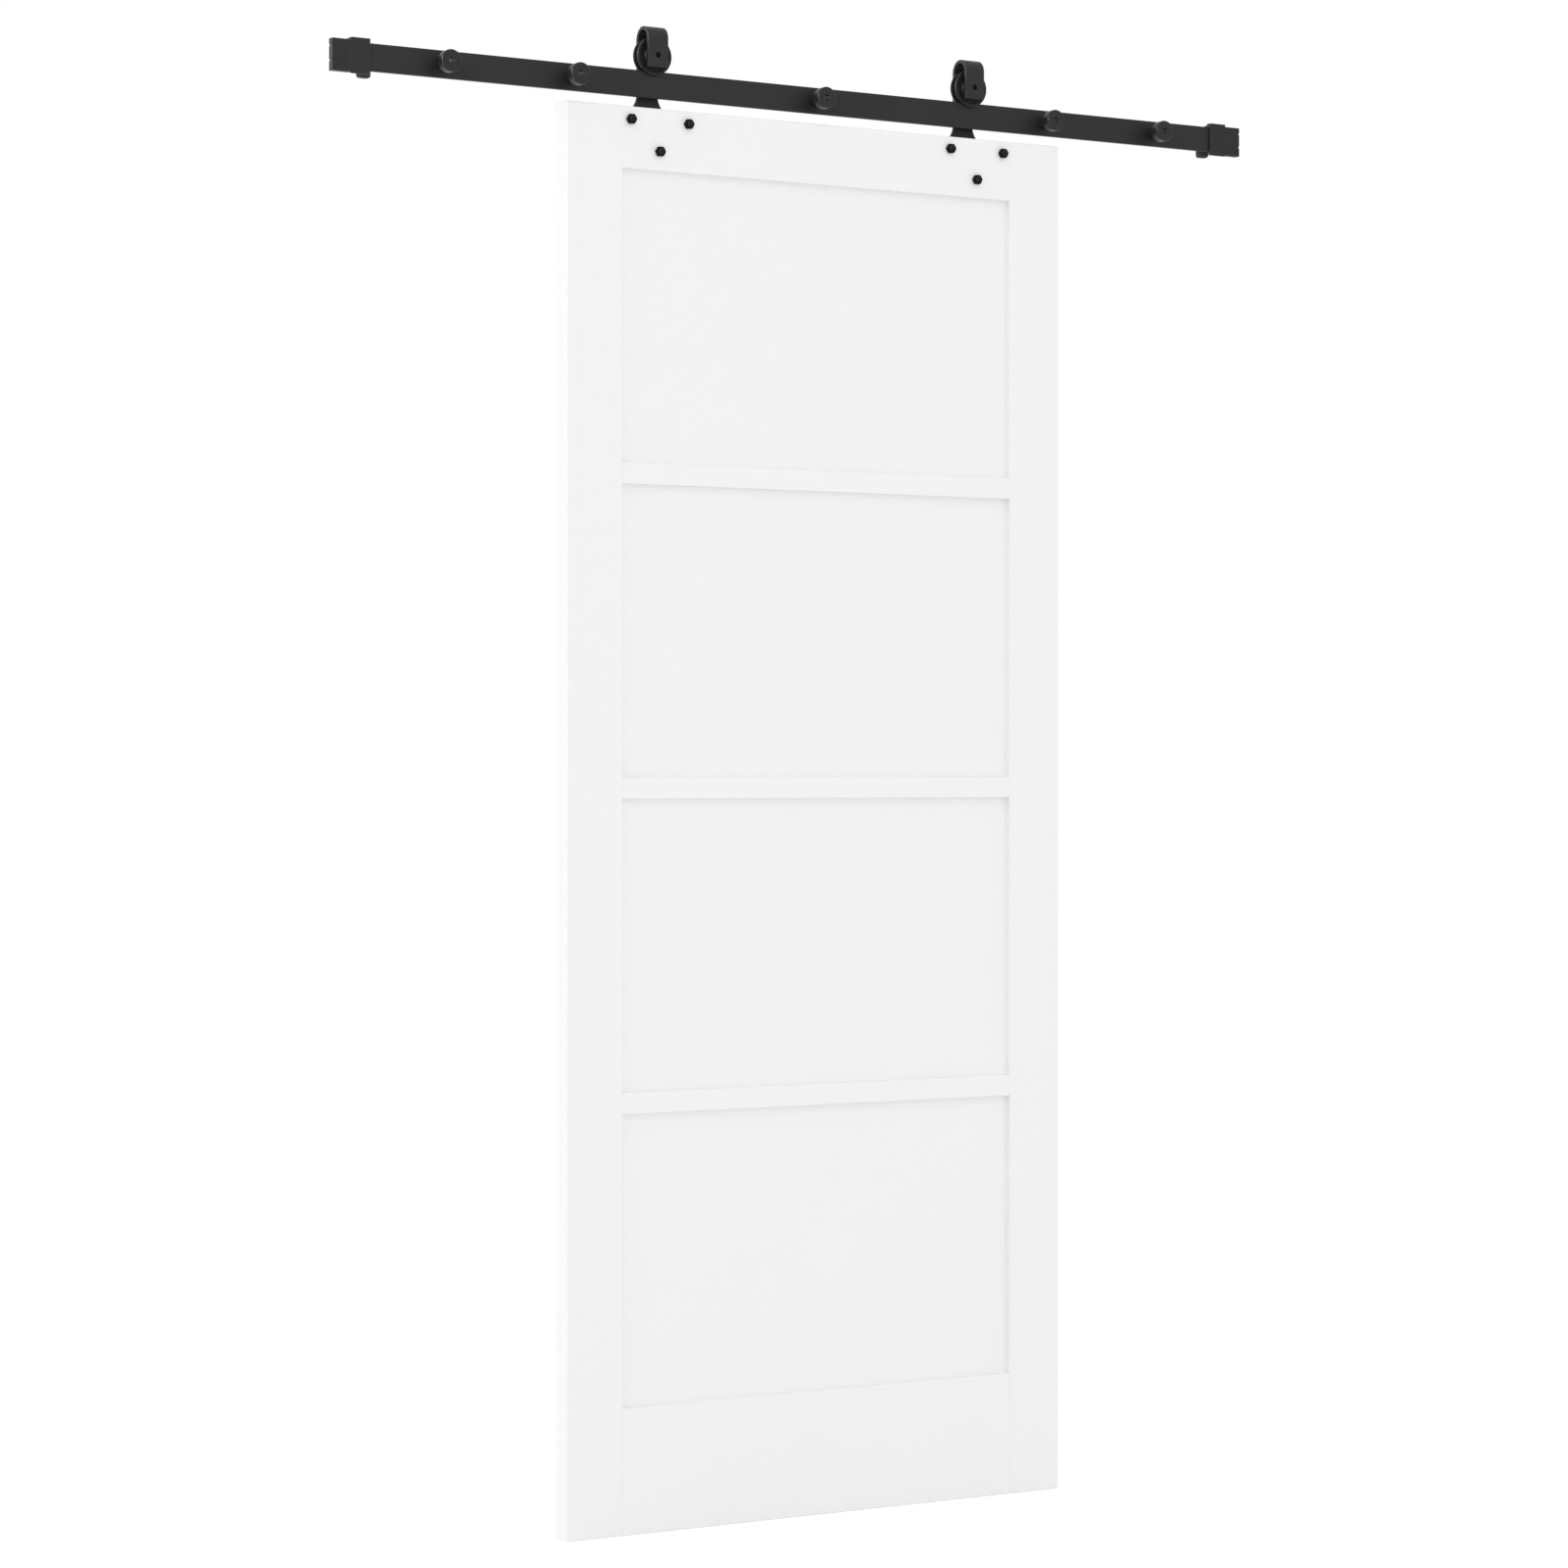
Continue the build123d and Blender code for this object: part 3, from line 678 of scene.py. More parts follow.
def cut_thread(bm, centre, start, end):
    """Threaded rod along Y between two depths."""
    rod = bmesh.new()
    turns = math.ceil((end - start) / THREAD_PITCH) + 2
    first = start - THREAD_PITCH
    root = BOLT_RADIUS - THREAD_DEPTH
    corners = [(root, first), (BOLT_RADIUS, first + THREAD_PITCH / 2), (root, first + THREAD_PITCH)]
    verts = [rod.verts.new((radius, depth, 0.0)) for radius, depth in corners]
    edges = [rod.edges.new(verts[:2]), rod.edges.new(verts[1:])]
    bmesh.ops.spin(
        rod, geom=[*verts, *edges], cent=(0, 0, 0), axis=(0, 1, 0), dvec=(0, THREAD_PITCH / THREAD_STEPS, 0),
        angle=math.tau * turns, steps=THREAD_STEPS * turns,
    )
    bmesh.ops.remove_doubles(rod, verts=rod.verts, dist=LOOSE_WELD)
    for depth, normal in ((end, (0, 1, 0)), (start + TIP_CONE, (0, -1, 0))):
        geometry = [*rod.verts, *rod.edges, *rod.faces]
        cut = bmesh.ops.bisect_plane(
            rod, geom=geometry, dist=WELD, plane_co=(0, depth, 0), plane_no=normal, clear_outer=True,
        )["geom_cut"]
        ring = [item for item in cut if isinstance(item, bmesh.types.BMEdge)]
        closed = bmesh.ops.edgeloop_fill(rod, edges=ring)["faces"]
    bmesh.ops.inset_individual(rod, faces=closed, thickness=TIP_CONE)
    bmesh.ops.translate(rod, verts=closed[0].verts, vec=Vector((0, -TIP_CONE, 0)))
    bmesh.ops.translate(rod, verts=rod.verts, vec=Vector((centre[0], 0, centre[1])))
    add_bmesh(bm, rod)


def add_bmesh(bm, other):
    """Adds another bmesh's shape to the first."""
    carrier = bpy.data.meshes.new("carrier")
    other.to_mesh(carrier)
    other.free()
    bm.from_mesh(carrier)
    bpy.data.meshes.remove(carrier)


THREAD_LENGTH = 14.0 * MM
SHANK_OVERLAP = 0.3 * MM
SHANK_STEPS = 40


def make_bolt(bm, centre, tail, seat):
    """Hexagon bolt along Y, from the end of its thread to its head's seat."""
    cut_thread(bm, centre, tail, tail + THREAD_LENGTH)
    start = tail + THREAD_LENGTH - SHANK_OVERLAP
    outline = [(0.0, start), (BOLT_RADIUS, start), (BOLT_RADIUS, seat), (0.0, seat)]
    turn(bm, outline, centre, steps=SHANK_STEPS)
    hexagon(bm, centre, seat, seat + HEAD_HEIGHT, 0.0, False, True)


HANGER_BOLT_REACH = 46.3 * MM
NUT_HOLE = 4.05 * MM


def hanger_bolt_places(side):
    """Centres of a hanger's three bolts, as (X, Z)."""
    low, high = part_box(side + "_hanger_nuts")
    middle = (low.x + high.x) / 2
    upper = high.z - FLAT_HALF
    lower = low.z + FLAT_HALF
    return [(middle - HANGER_BOLT_REACH, upper), (middle + HANGER_BOLT_REACH, upper), (middle, lower)]


def make_fasteners(side):
    nut_low, nut_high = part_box(side + "_hanger_nuts")
    bolt_low, bolt_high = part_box(side + "_hanger_bolts")
    axle_low, axle_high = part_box(side + "_axle_bolt")
    nuts = bmesh.new()
    bolts = bmesh.new()
    for centre in hanger_bolt_places(side):
        hexagon(nuts, centre, nut_low.y, nut_high.y, NUT_HOLE, True, False)
        make_bolt(bolts, centre, bolt_low.y, bolt_high.y - HEAD_HEIGHT)
    show_piece(nuts, side + "_door_nuts", side + "_hanger_nuts", worn_and_highlit=False)
    # The bolts' tips are marked to be painted pale: partly wear from the nuts, partly a painted highlight.
    show_piece(bolts, side + "_door_bolts", side + "_hanger_bolts", tip_depth=bolt_low.y + TIP_CONE)
    axle = bmesh.new()
    axle_centre = (axles[side].x, axles[side].z)
    make_bolt(axle, axle_centre, axle_low.y, axle_high.y - HEAD_HEIGHT)
    show_piece(axle, side + "_wheel_axle", side + "_axle_bolt")


for side in SIDES:
    make_fasteners(side)

# %% [markdown]
# ## The hanger straps
#
# A strap is cut from flat steel and then bent. The long leg and the bolt plate are drawn as half an
# outline: a straight edge, then arcs made by spinning one point about a centre, for the flare, the ear and
# the foot. The half is mirrored, filled and given its thickness. The holes are bored while it is flat. The
# bend is another spin: the strap's top end is turned half round over the wheel, and then pulled down as the
# short leg.

# %% the hanger straps
STRAP_HALF = 16.0 * MM
STRAP_THICKNESS = 5.0 * MM
EAR_RADIUS = 13.0 * MM
FORK_HALF = 13.5 * MM
PLATE_HOLE = 4.25 * MM
PLATE_CELL = 7.0 * MM
STRAP_ROUND = 0.7 * MM
SHORT_LEG_DROP = 17.5 * MM
FLARE_STEPS = 16
EAR_STEPS = 20
FOOT_STEPS = 10
BEND_STEPS = 28


def draw_to(bm, last, x, z):
    """Straight edge from the last point."""
    point = bmesh.ops.extrude_vert_indiv(bm, verts=[last])["verts"][0]
    point.co = Vector((x, last.co.y, z))
    return point


def draw_arc(bm, last, centre, angle, steps):
    """Arc from the last point about a centre."""
    pivot = Vector((centre[0], last.co.y, centre[1]))
    made = bmesh.ops.spin(bm, geom=[last], cent=pivot, axis=(0, 1, 0), angle=angle, steps=steps)
    return next(item for item in made["geom_last"] if isinstance(item, bmesh.types.BMVert))


def strap_blank(side, bend_height, depth):
    """Flat long leg and bolt plate, about the hanger's own centre line."""
    ear_height = hanger_bolt_places(side)[0][1]
    foot_height = hanger_bolt_places(side)[2][1]
    flare = HANGER_BOLT_REACH - STRAP_HALF
    flare_height = ear_height + EAR_RADIUS + flare
    slope = math.atan2(ear_height - foot_height, HANGER_BOLT_REACH)
    strap = bmesh.new()
    point = strap.verts.new((0.0, depth, bend_height))
    point = draw_to(strap, point, STRAP_HALF, bend_height)
    point = draw_to(strap, point, STRAP_HALF, flare_height)
    point = draw_arc(strap, point, (HANGER_BOLT_REACH, flare_height), -math.pi / 2, FLARE_STEPS)
    point = draw_arc(strap, point, (HANGER_BOLT_REACH, ear_height), math.pi - slope, EAR_STEPS)
    foot_x = EAR_RADIUS * math.sin(slope)
    point = draw_to(strap, point, foot_x, foot_height - EAR_RADIUS * math.cos(slope))
    draw_arc(strap, point, (0.0, foot_height), slope, FOOT_STEPS)
    bmesh.ops.mirror(strap, geom=[*strap.verts, *strap.edges], axis="X", merge_dist=LOOSE_WELD)
    bmesh.ops.contextual_create(strap, geom=strap.edges[:])
    crease = [vert for vert in strap.verts if abs(vert.co.x) < WELD and vert.co.z > bend_height - WELD]
    bmesh.ops.dissolve_verts(strap, verts=crease)
    return strap


def make_strap(side):
    low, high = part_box(side + "_hanger_strap")
    bend_height = high.z - FORK_HALF - STRAP_THICKNESS
    inner = high.y - STRAP_THICKNESS
    axle = axles[side]
    strap = strap_blank(side, bend_height, inner)
    made = bmesh.ops.extrude_face_region(strap, geom=strap.faces[:])["geom"]
    skin = [item for item in made if isinstance(item, bmesh.types.BMVert)]
    bmesh.ops.translate(strap, verts=skin, vec=Vector((0, STRAP_THICKNESS, 0)))
    for x, z in hanger_bolt_places(side):
        bore(strap, x - axle.x, z, PLATE_HOLE, inner, high.y, PLATE_CELL)
    end = [face for face in strap.faces if face.calc_center_median().z > bend_height - WELD]
    pivot = (0, (low.y + high.y) / 2, bend_height)
    bent = bmesh.ops.spin(strap, geom=end, cent=pivot, axis=(1, 0, 0), angle=math.pi, steps=BEND_STEPS)
    bmesh.ops.delete(strap, geom=end, context="FACES")
    end = [item for item in bent["geom_last"] if isinstance(item, bmesh.types.BMFace)]
    leg = bmesh.ops.extrude_face_region(strap, geom=end)["geom"]
    tip = [item for item in leg if isinstance(item, bmesh.types.BMVert)]
    short_end = axle.z - SHORT_LEG_DROP
    bmesh.ops.translate(strap, verts=tip, vec=Vector((0, 0, short_end - bend_height)))
    bmesh.ops.delete(strap, geom=end, context="FACES")
    bore(strap, 0.0, axle.z, NUT_HOLE, low.y, low.y + STRAP_THICKNESS, PLATE_CELL)
    bore(strap, 0.0, axle.z, PLATE_HOLE, inner, high.y, PLATE_CELL)
    bmesh.ops.remove_doubles(strap, verts=strap.verts, dist=WELD)
    round_edges(strap, sharp_edges(strap), STRAP_ROUND)
    bmesh.ops.translate(strap, verts=strap.verts, vec=Vector((axle.x, 0, 0)))
    show_piece(strap, side + "_bent_strap", side + "_hanger_strap")


for side in SIDES:
    make_strap(side)

# %% [markdown]
# ## The wheels
#
# Each wheel is turned nylon with a groove that sits on the rail, two flanges and dished sides. The whole
# section is one outline. The flange edges and the rims of the dish are rounded, because those thin bright
# arcs are what the eye reads as a wheel. The sleeves that keep the bearing in the middle of the fork are
# two short turned tubes.

# %% the wheels and their sleeves
TREAD = 21.0 * MM
FLANGE = 27.5 * MM
GROOVE_HALF = 3.75 * MM
FLOOR_HALF = 3.15 * MM
WHEEL_HALF = 7.75 * MM
SEAT_RADIUS = 11.0 * MM
SEAT_HALF = 3.5 * MM
LIP_RADIUS = 9.9 * MM
DISH_IN = 13.8 * MM
DISH_OUT = 23.0 * MM
DISH_SLOPE = 1.0 * MM
DISH_FLOOR = 5.75 * MM
FLANGE_ROUND = 1.3 * MM
DISH_ROUND = 0.8 * MM
RIM_EASE = 0.6 * MM
HUB_EASE = 0.3 * MM
WHEEL_STEPS = 128
SLEEVE_BORE = 4.2 * MM
SLEEVE_RADIUS = 6.0 * MM
SMALL_STEPS = 48


def make_wheel(side):
    axle = axles[side]
    section = [
        (SEAT_RADIUS, -WHEEL_HALF),
        (DISH_IN, -WHEEL_HALF),
        (DISH_IN + DISH_SLOPE, -DISH_FLOOR),
        (DISH_OUT - DISH_SLOPE, -DISH_FLOOR),
        (DISH_OUT, -WHEEL_HALF),
        (FLANGE, -WHEEL_HALF),
        (FLANGE, -GROOVE_HALF),
        (TREAD, -FLOOR_HALF),
        (TREAD, FLOOR_HALF),
        (FLANGE, GROOVE_HALF),
        (FLANGE, WHEEL_HALF),
        (DISH_OUT, WHEEL_HALF),
        (DISH_OUT - DISH_SLOPE, DISH_FLOOR),
        (DISH_IN + DISH_SLOPE, DISH_FLOOR),
        (DISH_IN, WHEEL_HALF),
        (LIP_RADIUS, WHEEL_HALF),
        (LIP_RADIUS, SEAT_HALF),
        (SEAT_RADIUS, SEAT_HALF),
    ]
    outline = [(radius, axle.y + depth) for radius, depth in section]
    wheel = bmesh.new()
    roundings = [
        (FLANGE_ROUND, (5, 10)),
        (RIM_EASE, (4, 6, 9, 11)),
        (HUB_EASE, (0, 1, 14, 15)),
        (DISH_ROUND, (2, 3, 12, 13)),
    ]
    turn(wheel, outline, (axle.x, axle.z), roundings, WHEEL_STEPS)
    show_piece(wheel, side + "_grooved_wheel", side + "_wheel")


def make_sleeves(side):
    axle = axles[side]
    low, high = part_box(side + "_axle_sleeves")
    tubes = bmesh.new()
    for start, end in ((low.y, axle.y - SEAT_HALF), (axle.y + SEAT_HALF, high.y)):
        outline = [(SLEEVE_BORE, start), (SLEEVE_RADIUS, start), (SLEEVE_RADIUS, end), (SLEEVE_BORE, end)]
        turn(tubes, outline, (axle.x, axle.z), [(HUB_EASE, (0, 1, 2, 3))], SMALL_STEPS)
    show_piece(tubes, side + "_axle_tubes", side + "_axle_sleeves")


for side in SIDES:
    make_wheel(side)
    make_sleeves(side)

# %% [markdown]
# ## The end stops
#
# A stop is a steel saddle: a plate on the rail's wall side, a bridge over its top and a thick block on the
# room side. It grows from one box by pulling faces, as a smith would draw it out of a bar: the bridge out
# of the plate, the arm out of half the bridge, and the block down from the arm. All its edges are rounded
# but the one against the cap, so that no bright line shows there. Two set screws press on the rail.

# %% the end stops
PLATE_ROUND = 0.5 * MM
BLOCK_WIDTH = 19.5 * MM
SET_SCREW = 3.0 * MM
SET_SCREW_PITCH = 9.0 * MM
SET_SCREW_CELL = 4.4 * MM


def make_stop(side, sign):
    low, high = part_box(side + "_stop_clamp")
    plate_room = rail_low.y
    outer = max(low.x, high.x, key=abs)
    inner = min(low.x, high.x, key=abs)
    split = outer - sign * BLOCK_WIDTH
    saddle = block((low.x, low.y, low.z), (high.x, plate_room, high.z))
    slice_at(saddle, "z", rail_high.z)
    slice_at(saddle, "x", split)
    top = (rail_high.z + high.z) / 2
    for start, end in ((inner, split), (split, outer)):
        face = pick_face(saddle, ((start + end) / 2, plate_room, top))
        pull_face(saddle, face, (0, rail_high.y - plate_room, 0))
    middle = (split + outer) / 2
    bmesh.ops.remove_doubles(saddle, verts=saddle.verts, dist=WELD)
    inside = [face for face in saddle.faces if lies_at(face, "x", split)]
    bmesh.ops.delete(saddle, geom=inside, context="FACES")
    face = pick_face(saddle, (middle, rail_high.y, top))
    pull_face(saddle, face, (0, high.y - rail_high.y, 0))
    face = pick_face(saddle, (middle, (rail_high.y + high.y) / 2, rail_high.z))
    pull_face(saddle, face, (0, 0, rail_low.z - rail_high.z))
    for height in (-SET_SCREW_PITCH, SET_SCREW_PITCH):
        bore(saddle, middle, height, SET_SCREW, rail_high.y, high.y, SET_SCREW_CELL)
    bmesh.ops.remove_doubles(saddle, verts=saddle.verts, dist=WELD)
    bmesh.ops.recalc_face_normals(saddle, faces=saddle.faces)
    seam = {edge for edge in saddle.edges if lies_at(edge, "x", outer) and lies_at(edge, "y", low.y)}
    round_edges(saddle, [edge for edge in sharp_edges(saddle) if edge not in seam], PLATE_ROUND)
    show_piece(saddle, side + "_stop_saddle", side + "_stop_clamp")


for side, sign in SIDES.items():
    make_stop(side, sign)

# %% [markdown]
# The set screws are short studs with a six-sided socket. The stud is turned, its end face is inset, and the
# inner ring is pressed to six corners and pushed in.

# %% set screws and bumper screws
SOCKET_HALF = 1.5 * MM
SOCKET_DEPTH = 3.0 * MM
SOCKET_INSET = 0.9 * MM
STUD_EASE = 0.3 * MM


def sink_socket(bm, centre, depth, inward):
    """Six-sided socket in a round end face."""
    middle = Vector((centre[0], depth, centre[1]))
    end = [face for face in bm.faces if lies_at(face, "y", depth)]
    end = [face for face in end if (face.calc_center_median() - middle).length < SET_SCREW]
    bmesh.ops.dissolve_faces(bm, faces=end)
    face = pick_face(bm, middle)
    bmesh.ops.inset_individual(bm, faces=[face], thickness=SOCKET_INSET, use_even_offset=True)
    for vert in face.verts:
        across = Vector((vert.co.x - centre[0], vert.co.z - centre[1]))
        angle = math.atan2(across.y, across.x) % HEX_TURN - HEX_TURN / 2
        across = across.normalized() * SOCKET_HALF / math.cos(angle)
        vert.co = middle + Vector((across.x, 0, across.y))
    pull_face(bm, face, (0, inward, 0))


def make_set_screws(side):
    low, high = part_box(side + "_stop_set_screws")
    middle = (low.x + high.x) / 2
    studs = bmesh.new()
    for height in (-SET_SCREW_PITCH, SET_SCREW_PITCH):
        stud = bmesh.new()
        outline = [(0.0, low.y), (SET_SCREW, low.y), (SET_SCREW, high.y), (0.0, high.y)]
        turn(stud, outline, (middle, height), [(STUD_EASE, (1, 2))], SMALL_STEPS)
        bmesh.ops.remove_doubles(stud, verts=stud.verts, dist=WELD)
        sink_socket(stud, (middle, height), high.y, -SOCKET_DEPTH)
        add_bmesh(studs, stud)
    show_piece(studs, side + "_stop_studs", side + "_stop_set_screws")


SCREW_RADIUS = 2.5 * MM
SCREW_HEAD_RADIUS = 4.6 * MM
SCREW_HEAD_HEIGHT = 2.8 * MM
DOME_ROUND = 1.5 * MM
SCREW_EASE = 0.5 * MM


def make_bumper_screw(side, sign):
    """Round-headed screw, turned along Y and then laid along the rail."""
    low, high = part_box(side + "_bumper_screw")
    length = high.x - low.x
    outline = [
        (0.0, 0.0),
        (SCREW_HEAD_RADIUS, 0.0),
        (SCREW_HEAD_RADIUS, SCREW_HEAD_HEIGHT),
        (SCREW_RADIUS, SCREW_HEAD_HEIGHT),
        (SCREW_RADIUS, length),
        (0.0, length),
    ]
    screw = bmesh.new()
    turn(screw, outline, (0.0, 0.0), [(DOME_ROUND, (1,)), (SCREW_EASE, (4,))], SMALL_STEPS)
    bmesh.ops.remove_doubles(screw, verts=screw.verts, dist=WELD)
    sink_socket(screw, (0.0, 0.0), 0.0, SOCKET_DEPTH)
    lay = Matrix.Rotation(sign * math.pi / 2, 4, "Z")
    bmesh.ops.transform(screw, matrix=lay, verts=screw.verts)
    place = Vector((max(low.x, high.x, key=abs), (low.y + high.y) / 2, (low.z + high.z) / 2))
    bmesh.ops.translate(screw, verts=screw.verts, vec=place)
    show_piece(screw, side + "_rubber_screw", side + "_bumper_screw")


for side, sign in SIDES.items():
    make_set_screws(side)
    make_bumper_screw(side, sign)

# %% [markdown]
# ## Bumpers and end caps
#
# The bumper is a moulded rubber block with a rounded nose towards the hanger. The cap that closes the
# rail's end is a moulded sleeve whose outside is drawn in along two lines, so it swells in three soft
# lobes. Both start as blocks. For the cap, slices mark the lines, and the points on them are moved inwards
# before everything is rounded. Its mouth is widened on the wall side, flush with the stop's plate, then
# inset to the size of the bar and pushed in, as the pocket for the rail's end.

# %% bumpers
NOSE_ROUND = 4.0 * MM
FOOT_ROUND = 3.4 * MM
RUBBER_ROUND = 1.0 * MM


def make_bumper(side):
    low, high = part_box(side + "_stop_bumper")
    rubber = block(low, high)
    nose = min(low.x, high.x, key=abs)
    upright = [
        edge for edge in rubber.edges
        if lies_at(edge, "x", nose) and lies_at(edge, "y", edge.verts[0].co.y)
    ]
    round_edges(rubber, upright, NOSE_ROUND, 8)
    foot = [edge for edge in sharp_edges(rubber) if lies_at(edge, "z", low.z)]
    round_edges(rubber, foot, FOOT_ROUND, 2)
    round_edges(rubber, sharp_edges(rubber), RUBBER_ROUND, 3)
    show_piece(rubber, side + "_rubber_block", side + "_stop_bumper")


for side in SIDES:
    make_bumper(side)

# %% end caps
CAP_ROUND = 0.8 * MM
LOBE_DEPTH = 1.2 * MM
END_DIP = 0.5 * MM
LOBE_REACH = 2.4 * MM
LOBE_FROM_TOP = 9.5 * MM
LOBE_FROM_BOTTOM = 14.5 * MM
MOUTH_LENGTH = 6.0 * MM
MOUTH_FLARE = 1.0 * MM


def flare_mouth(cap, inner, wall_face):
    """Widens a cap's mouth on the wall side until it is flush with the stop's plate."""
    for vert in cap.verts:
        if abs(vert.co.x - inner) < WELD and abs(vert.co.y - wall_face) < WELD:
            vert.co.y -= MOUTH_FLARE


def make_cap(side, sign):
    low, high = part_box(side + "_end_cap")
    outer = max(low.x, high.x, key=abs)
    inner = min(low.x, high.x, key=abs)
    middle_y = (low.y + high.y) / 2
    cap = block(low, high)
    slice_at(cap, "x", inner + sign * MOUTH_LENGTH)
    flare_mouth(cap, inner, low.y)
    lines = (high.z - LOBE_FROM_TOP, low.z + LOBE_FROM_BOTTOM)
    for line in lines:
        for height in (line - LOBE_REACH, line, line + LOBE_REACH):
            slice_at(cap, "z", height)
    for vert in cap.verts:
        if min(abs(vert.co.z - line) for line in lines) < WELD:
            vert.co.y += LOBE_DEPTH if vert.co.y < middle_y else -LOBE_DEPTH
            if abs(vert.co.x - outer) < WELD:
                vert.co.x -= sign * END_DIP
    mouth = [face for face in cap.faces if lies_at(face, "x", inner)]
    bmesh.ops.dissolve_faces(cap, faces=mouth)
    corners = [edge for edge in sharp_edges(cap) if not lies_at(edge, "x", inner)]
    round_edges(cap, corners, CAP_ROUND, 3)
    face = pick_face(cap, (inner, middle_y, (low.z + high.z) / 2))
    bmesh.ops.inset_individual(cap, faces=[face], thickness=CAP_ROUND)
    for vert in face.verts:
        vert.co.y = rail_low.y if vert.co.y < middle_y else rail_high.y
        vert.co.z = min(max(vert.co.z, rail_low.z), rail_high.z)
    pull_face(cap, face, (sign * rail_high.x - inner, 0, 0))
    show_piece(cap, side + "_rail_cap", side + "_end_cap")


for side, sign in SIDES.items():
    make_cap(side, sign)

# %% [markdown]
# ## The door
#
# The door is framed board: two stiles run its full height, cross rails fit between them, and flat panels
# sit in grooves. The groove is made by slicing a strip along the middle of an edge and pushing it in, and
# the tongue on a rail's end by pulling the same strip out. The outer edges and the edges along the panels
# are rounded by two millimetres, where a hand would catch them, but the edges at a joint are only eased, so
# just a fine line shows there.

# %% the door frame
PANEL_HALF = 8.0 * MM
GROOVE_DEPTH = 8.0 * MM
GROOVE_ROOM = 0.1 * MM
TONGUE = 7.5 * MM
DOOR_ROUND = 2.0 * MM
JOINT_EASE = 0.6 * MM
stile_low, stile_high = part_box("door_left_stile")
door_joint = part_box("door_right_stile")[0].x
door_middle = (stile_low.y + stile_high.y) / 2


def groove_strip(bm, half):
    """Slices a strip along the middle of the door's thickness."""
    slice_at(bm, "y", door_middle - half)
    slice_at(bm, "y", door_middle + half)


def make_stile(side, sign):
    low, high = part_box("door_" + side + "_stile")
    stile = block(low, high)
    joint = sign * door_joint
    outer = [edge for edge in stile.edges if not lies_at(edge, "x", joint)]
    round_edges(stile, outer, DOOR_ROUND)
    round_edges(stile, sharp_edges(stile), JOINT_EASE)
    groove_strip(stile, PANEL_HALF + GROOVE_ROOM)
    face = pick_face(stile, (joint, door_middle, (low.z + high.z) / 2))
    pull_face(stile, face, (sign * GROOVE_DEPTH, 0, 0))
    show_piece(stile, "door_" + side + "_upright", "door_" + side + "_stile")


def make_cross_rail(node, name, groove_below, groove_above):
    low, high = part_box(node)
    rail = block((-door_joint, low.y, low.z), (door_joint, high.y, high.z))
    long_edges = [edge for edge in rail.edges if edge.calc_length() > 2 * door_joint - WELD]
    round_edges(rail, long_edges, DOOR_ROUND)
    round_edges(rail, sharp_edges(rail), JOINT_EASE)
    groove_strip(rail, PANEL_HALF)
    middle = (low.z + high.z) / 2
    for sign in SIDES.values():
        face = pick_face(rail, (sign * door_joint, door_middle, middle))
        pull_face(rail, face, (sign * TONGUE, 0, 0))
    for wanted, height, shift in ((groove_below, low.z, GROOVE_DEPTH), (groove_above, high.z, -GROOVE_DEPTH)):
        if wanted:
            face = pick_face(rail, (0, door_middle, height))
            pull_face(rail, face, (0, 0, shift))
    if node == "door_top_rail":
        for side in SIDES:
            for x, z in hanger_bolt_places(side):
                bore(rail, x, z, PLATE_HOLE, low.y, high.y, PLATE_CELL)
    show_piece(rail, name, node)


for side, sign in SIDES.items():
    make_stile(side, sign)
make_cross_rail("door_top_rail", "door_head_rail", True, False)
make_cross_rail("door_bottom_rail", "door_foot_rail", False, True)
for number in (1, 2, 3):
    make_cross_rail("door_mid_rail_" + str(number), "door_cross_rail_" + str(number), True, True)

# %% [markdown]
# The panels are flat boards that reach into the grooves. Their edges are eased all round, so that each one
# is a real board and not just a plane behind the frame.

# %% the door panels
PANEL_ROUND = 0.5 * MM


def make_panel(number):
    node = "door_panel_" + str(number)
    low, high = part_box(node)
    panel = block(low, high)
    round_edges(panel, sharp_edges(panel), PANEL_ROUND, 2)
    show_piece(panel, "door_board_" + str(number), node)


for number in (1, 2, 3, 4):
    make_panel(number)

# %% [markdown]
# ## What stays from the measured model
#
# The bearings and the dowels are already the right shape, and they sit deep inside other pieces, so their
# measured meshes stay. They only get their finishes.

# %% finishes on the measured pieces that stay
kept = [node for node, shape in frame["nodes"].items() if not shape.hide_render]
for node in kept:
    shape = frame["nodes"][node]
    shape.data.materials.clear()
    shape.data.materials.append(finishes[slot_of[node]])
print("kept from the measured model:", ", ".join(sorted(kept)))

# %% [markdown]
# ## Floor and light
#
# The studio is white all round. A plain white floor lies just under the door and keeps its soft shadow.
# Seen by the camera, or in a reflection, the floor and the sky are given their white directly through Light
# Path, so they stay white without pouring more light on the door. Most of the light is the pale sky. A weak
# lamp from above draws the shadow under each cross rail, a low one evens the foot of the door, and one on
# the left brightens the door's edge. Two cards on the left are only there to be reflected, as the pale
# lines on the black pieces and on the end of the cap.

# %% floor and sky
FLOOR_GAP = 0.010
FLOOR_SIZE = 40.0
FLOOR_WHITE = 0.88
FLOOR_SHADE = (0.90, 0.90, 0.90)
FLOOR_SEEN_SHADE = (0.22, 0.22, 0.22)
door_foot = stile_low.z


def seen_directly(tree):
    """One for rays from the camera, from a reflection or through glass, and zero for the rest."""
    path = tree.nodes.new("ShaderNodeLightPath")
    seen = joined(tree, "MAXIMUM", path.outputs["Is Camera Ray"], path.outputs["Is Glossy Ray"])
    return joined(tree, "MAXIMUM", seen, path.outputs["Is Transmission Ray"])


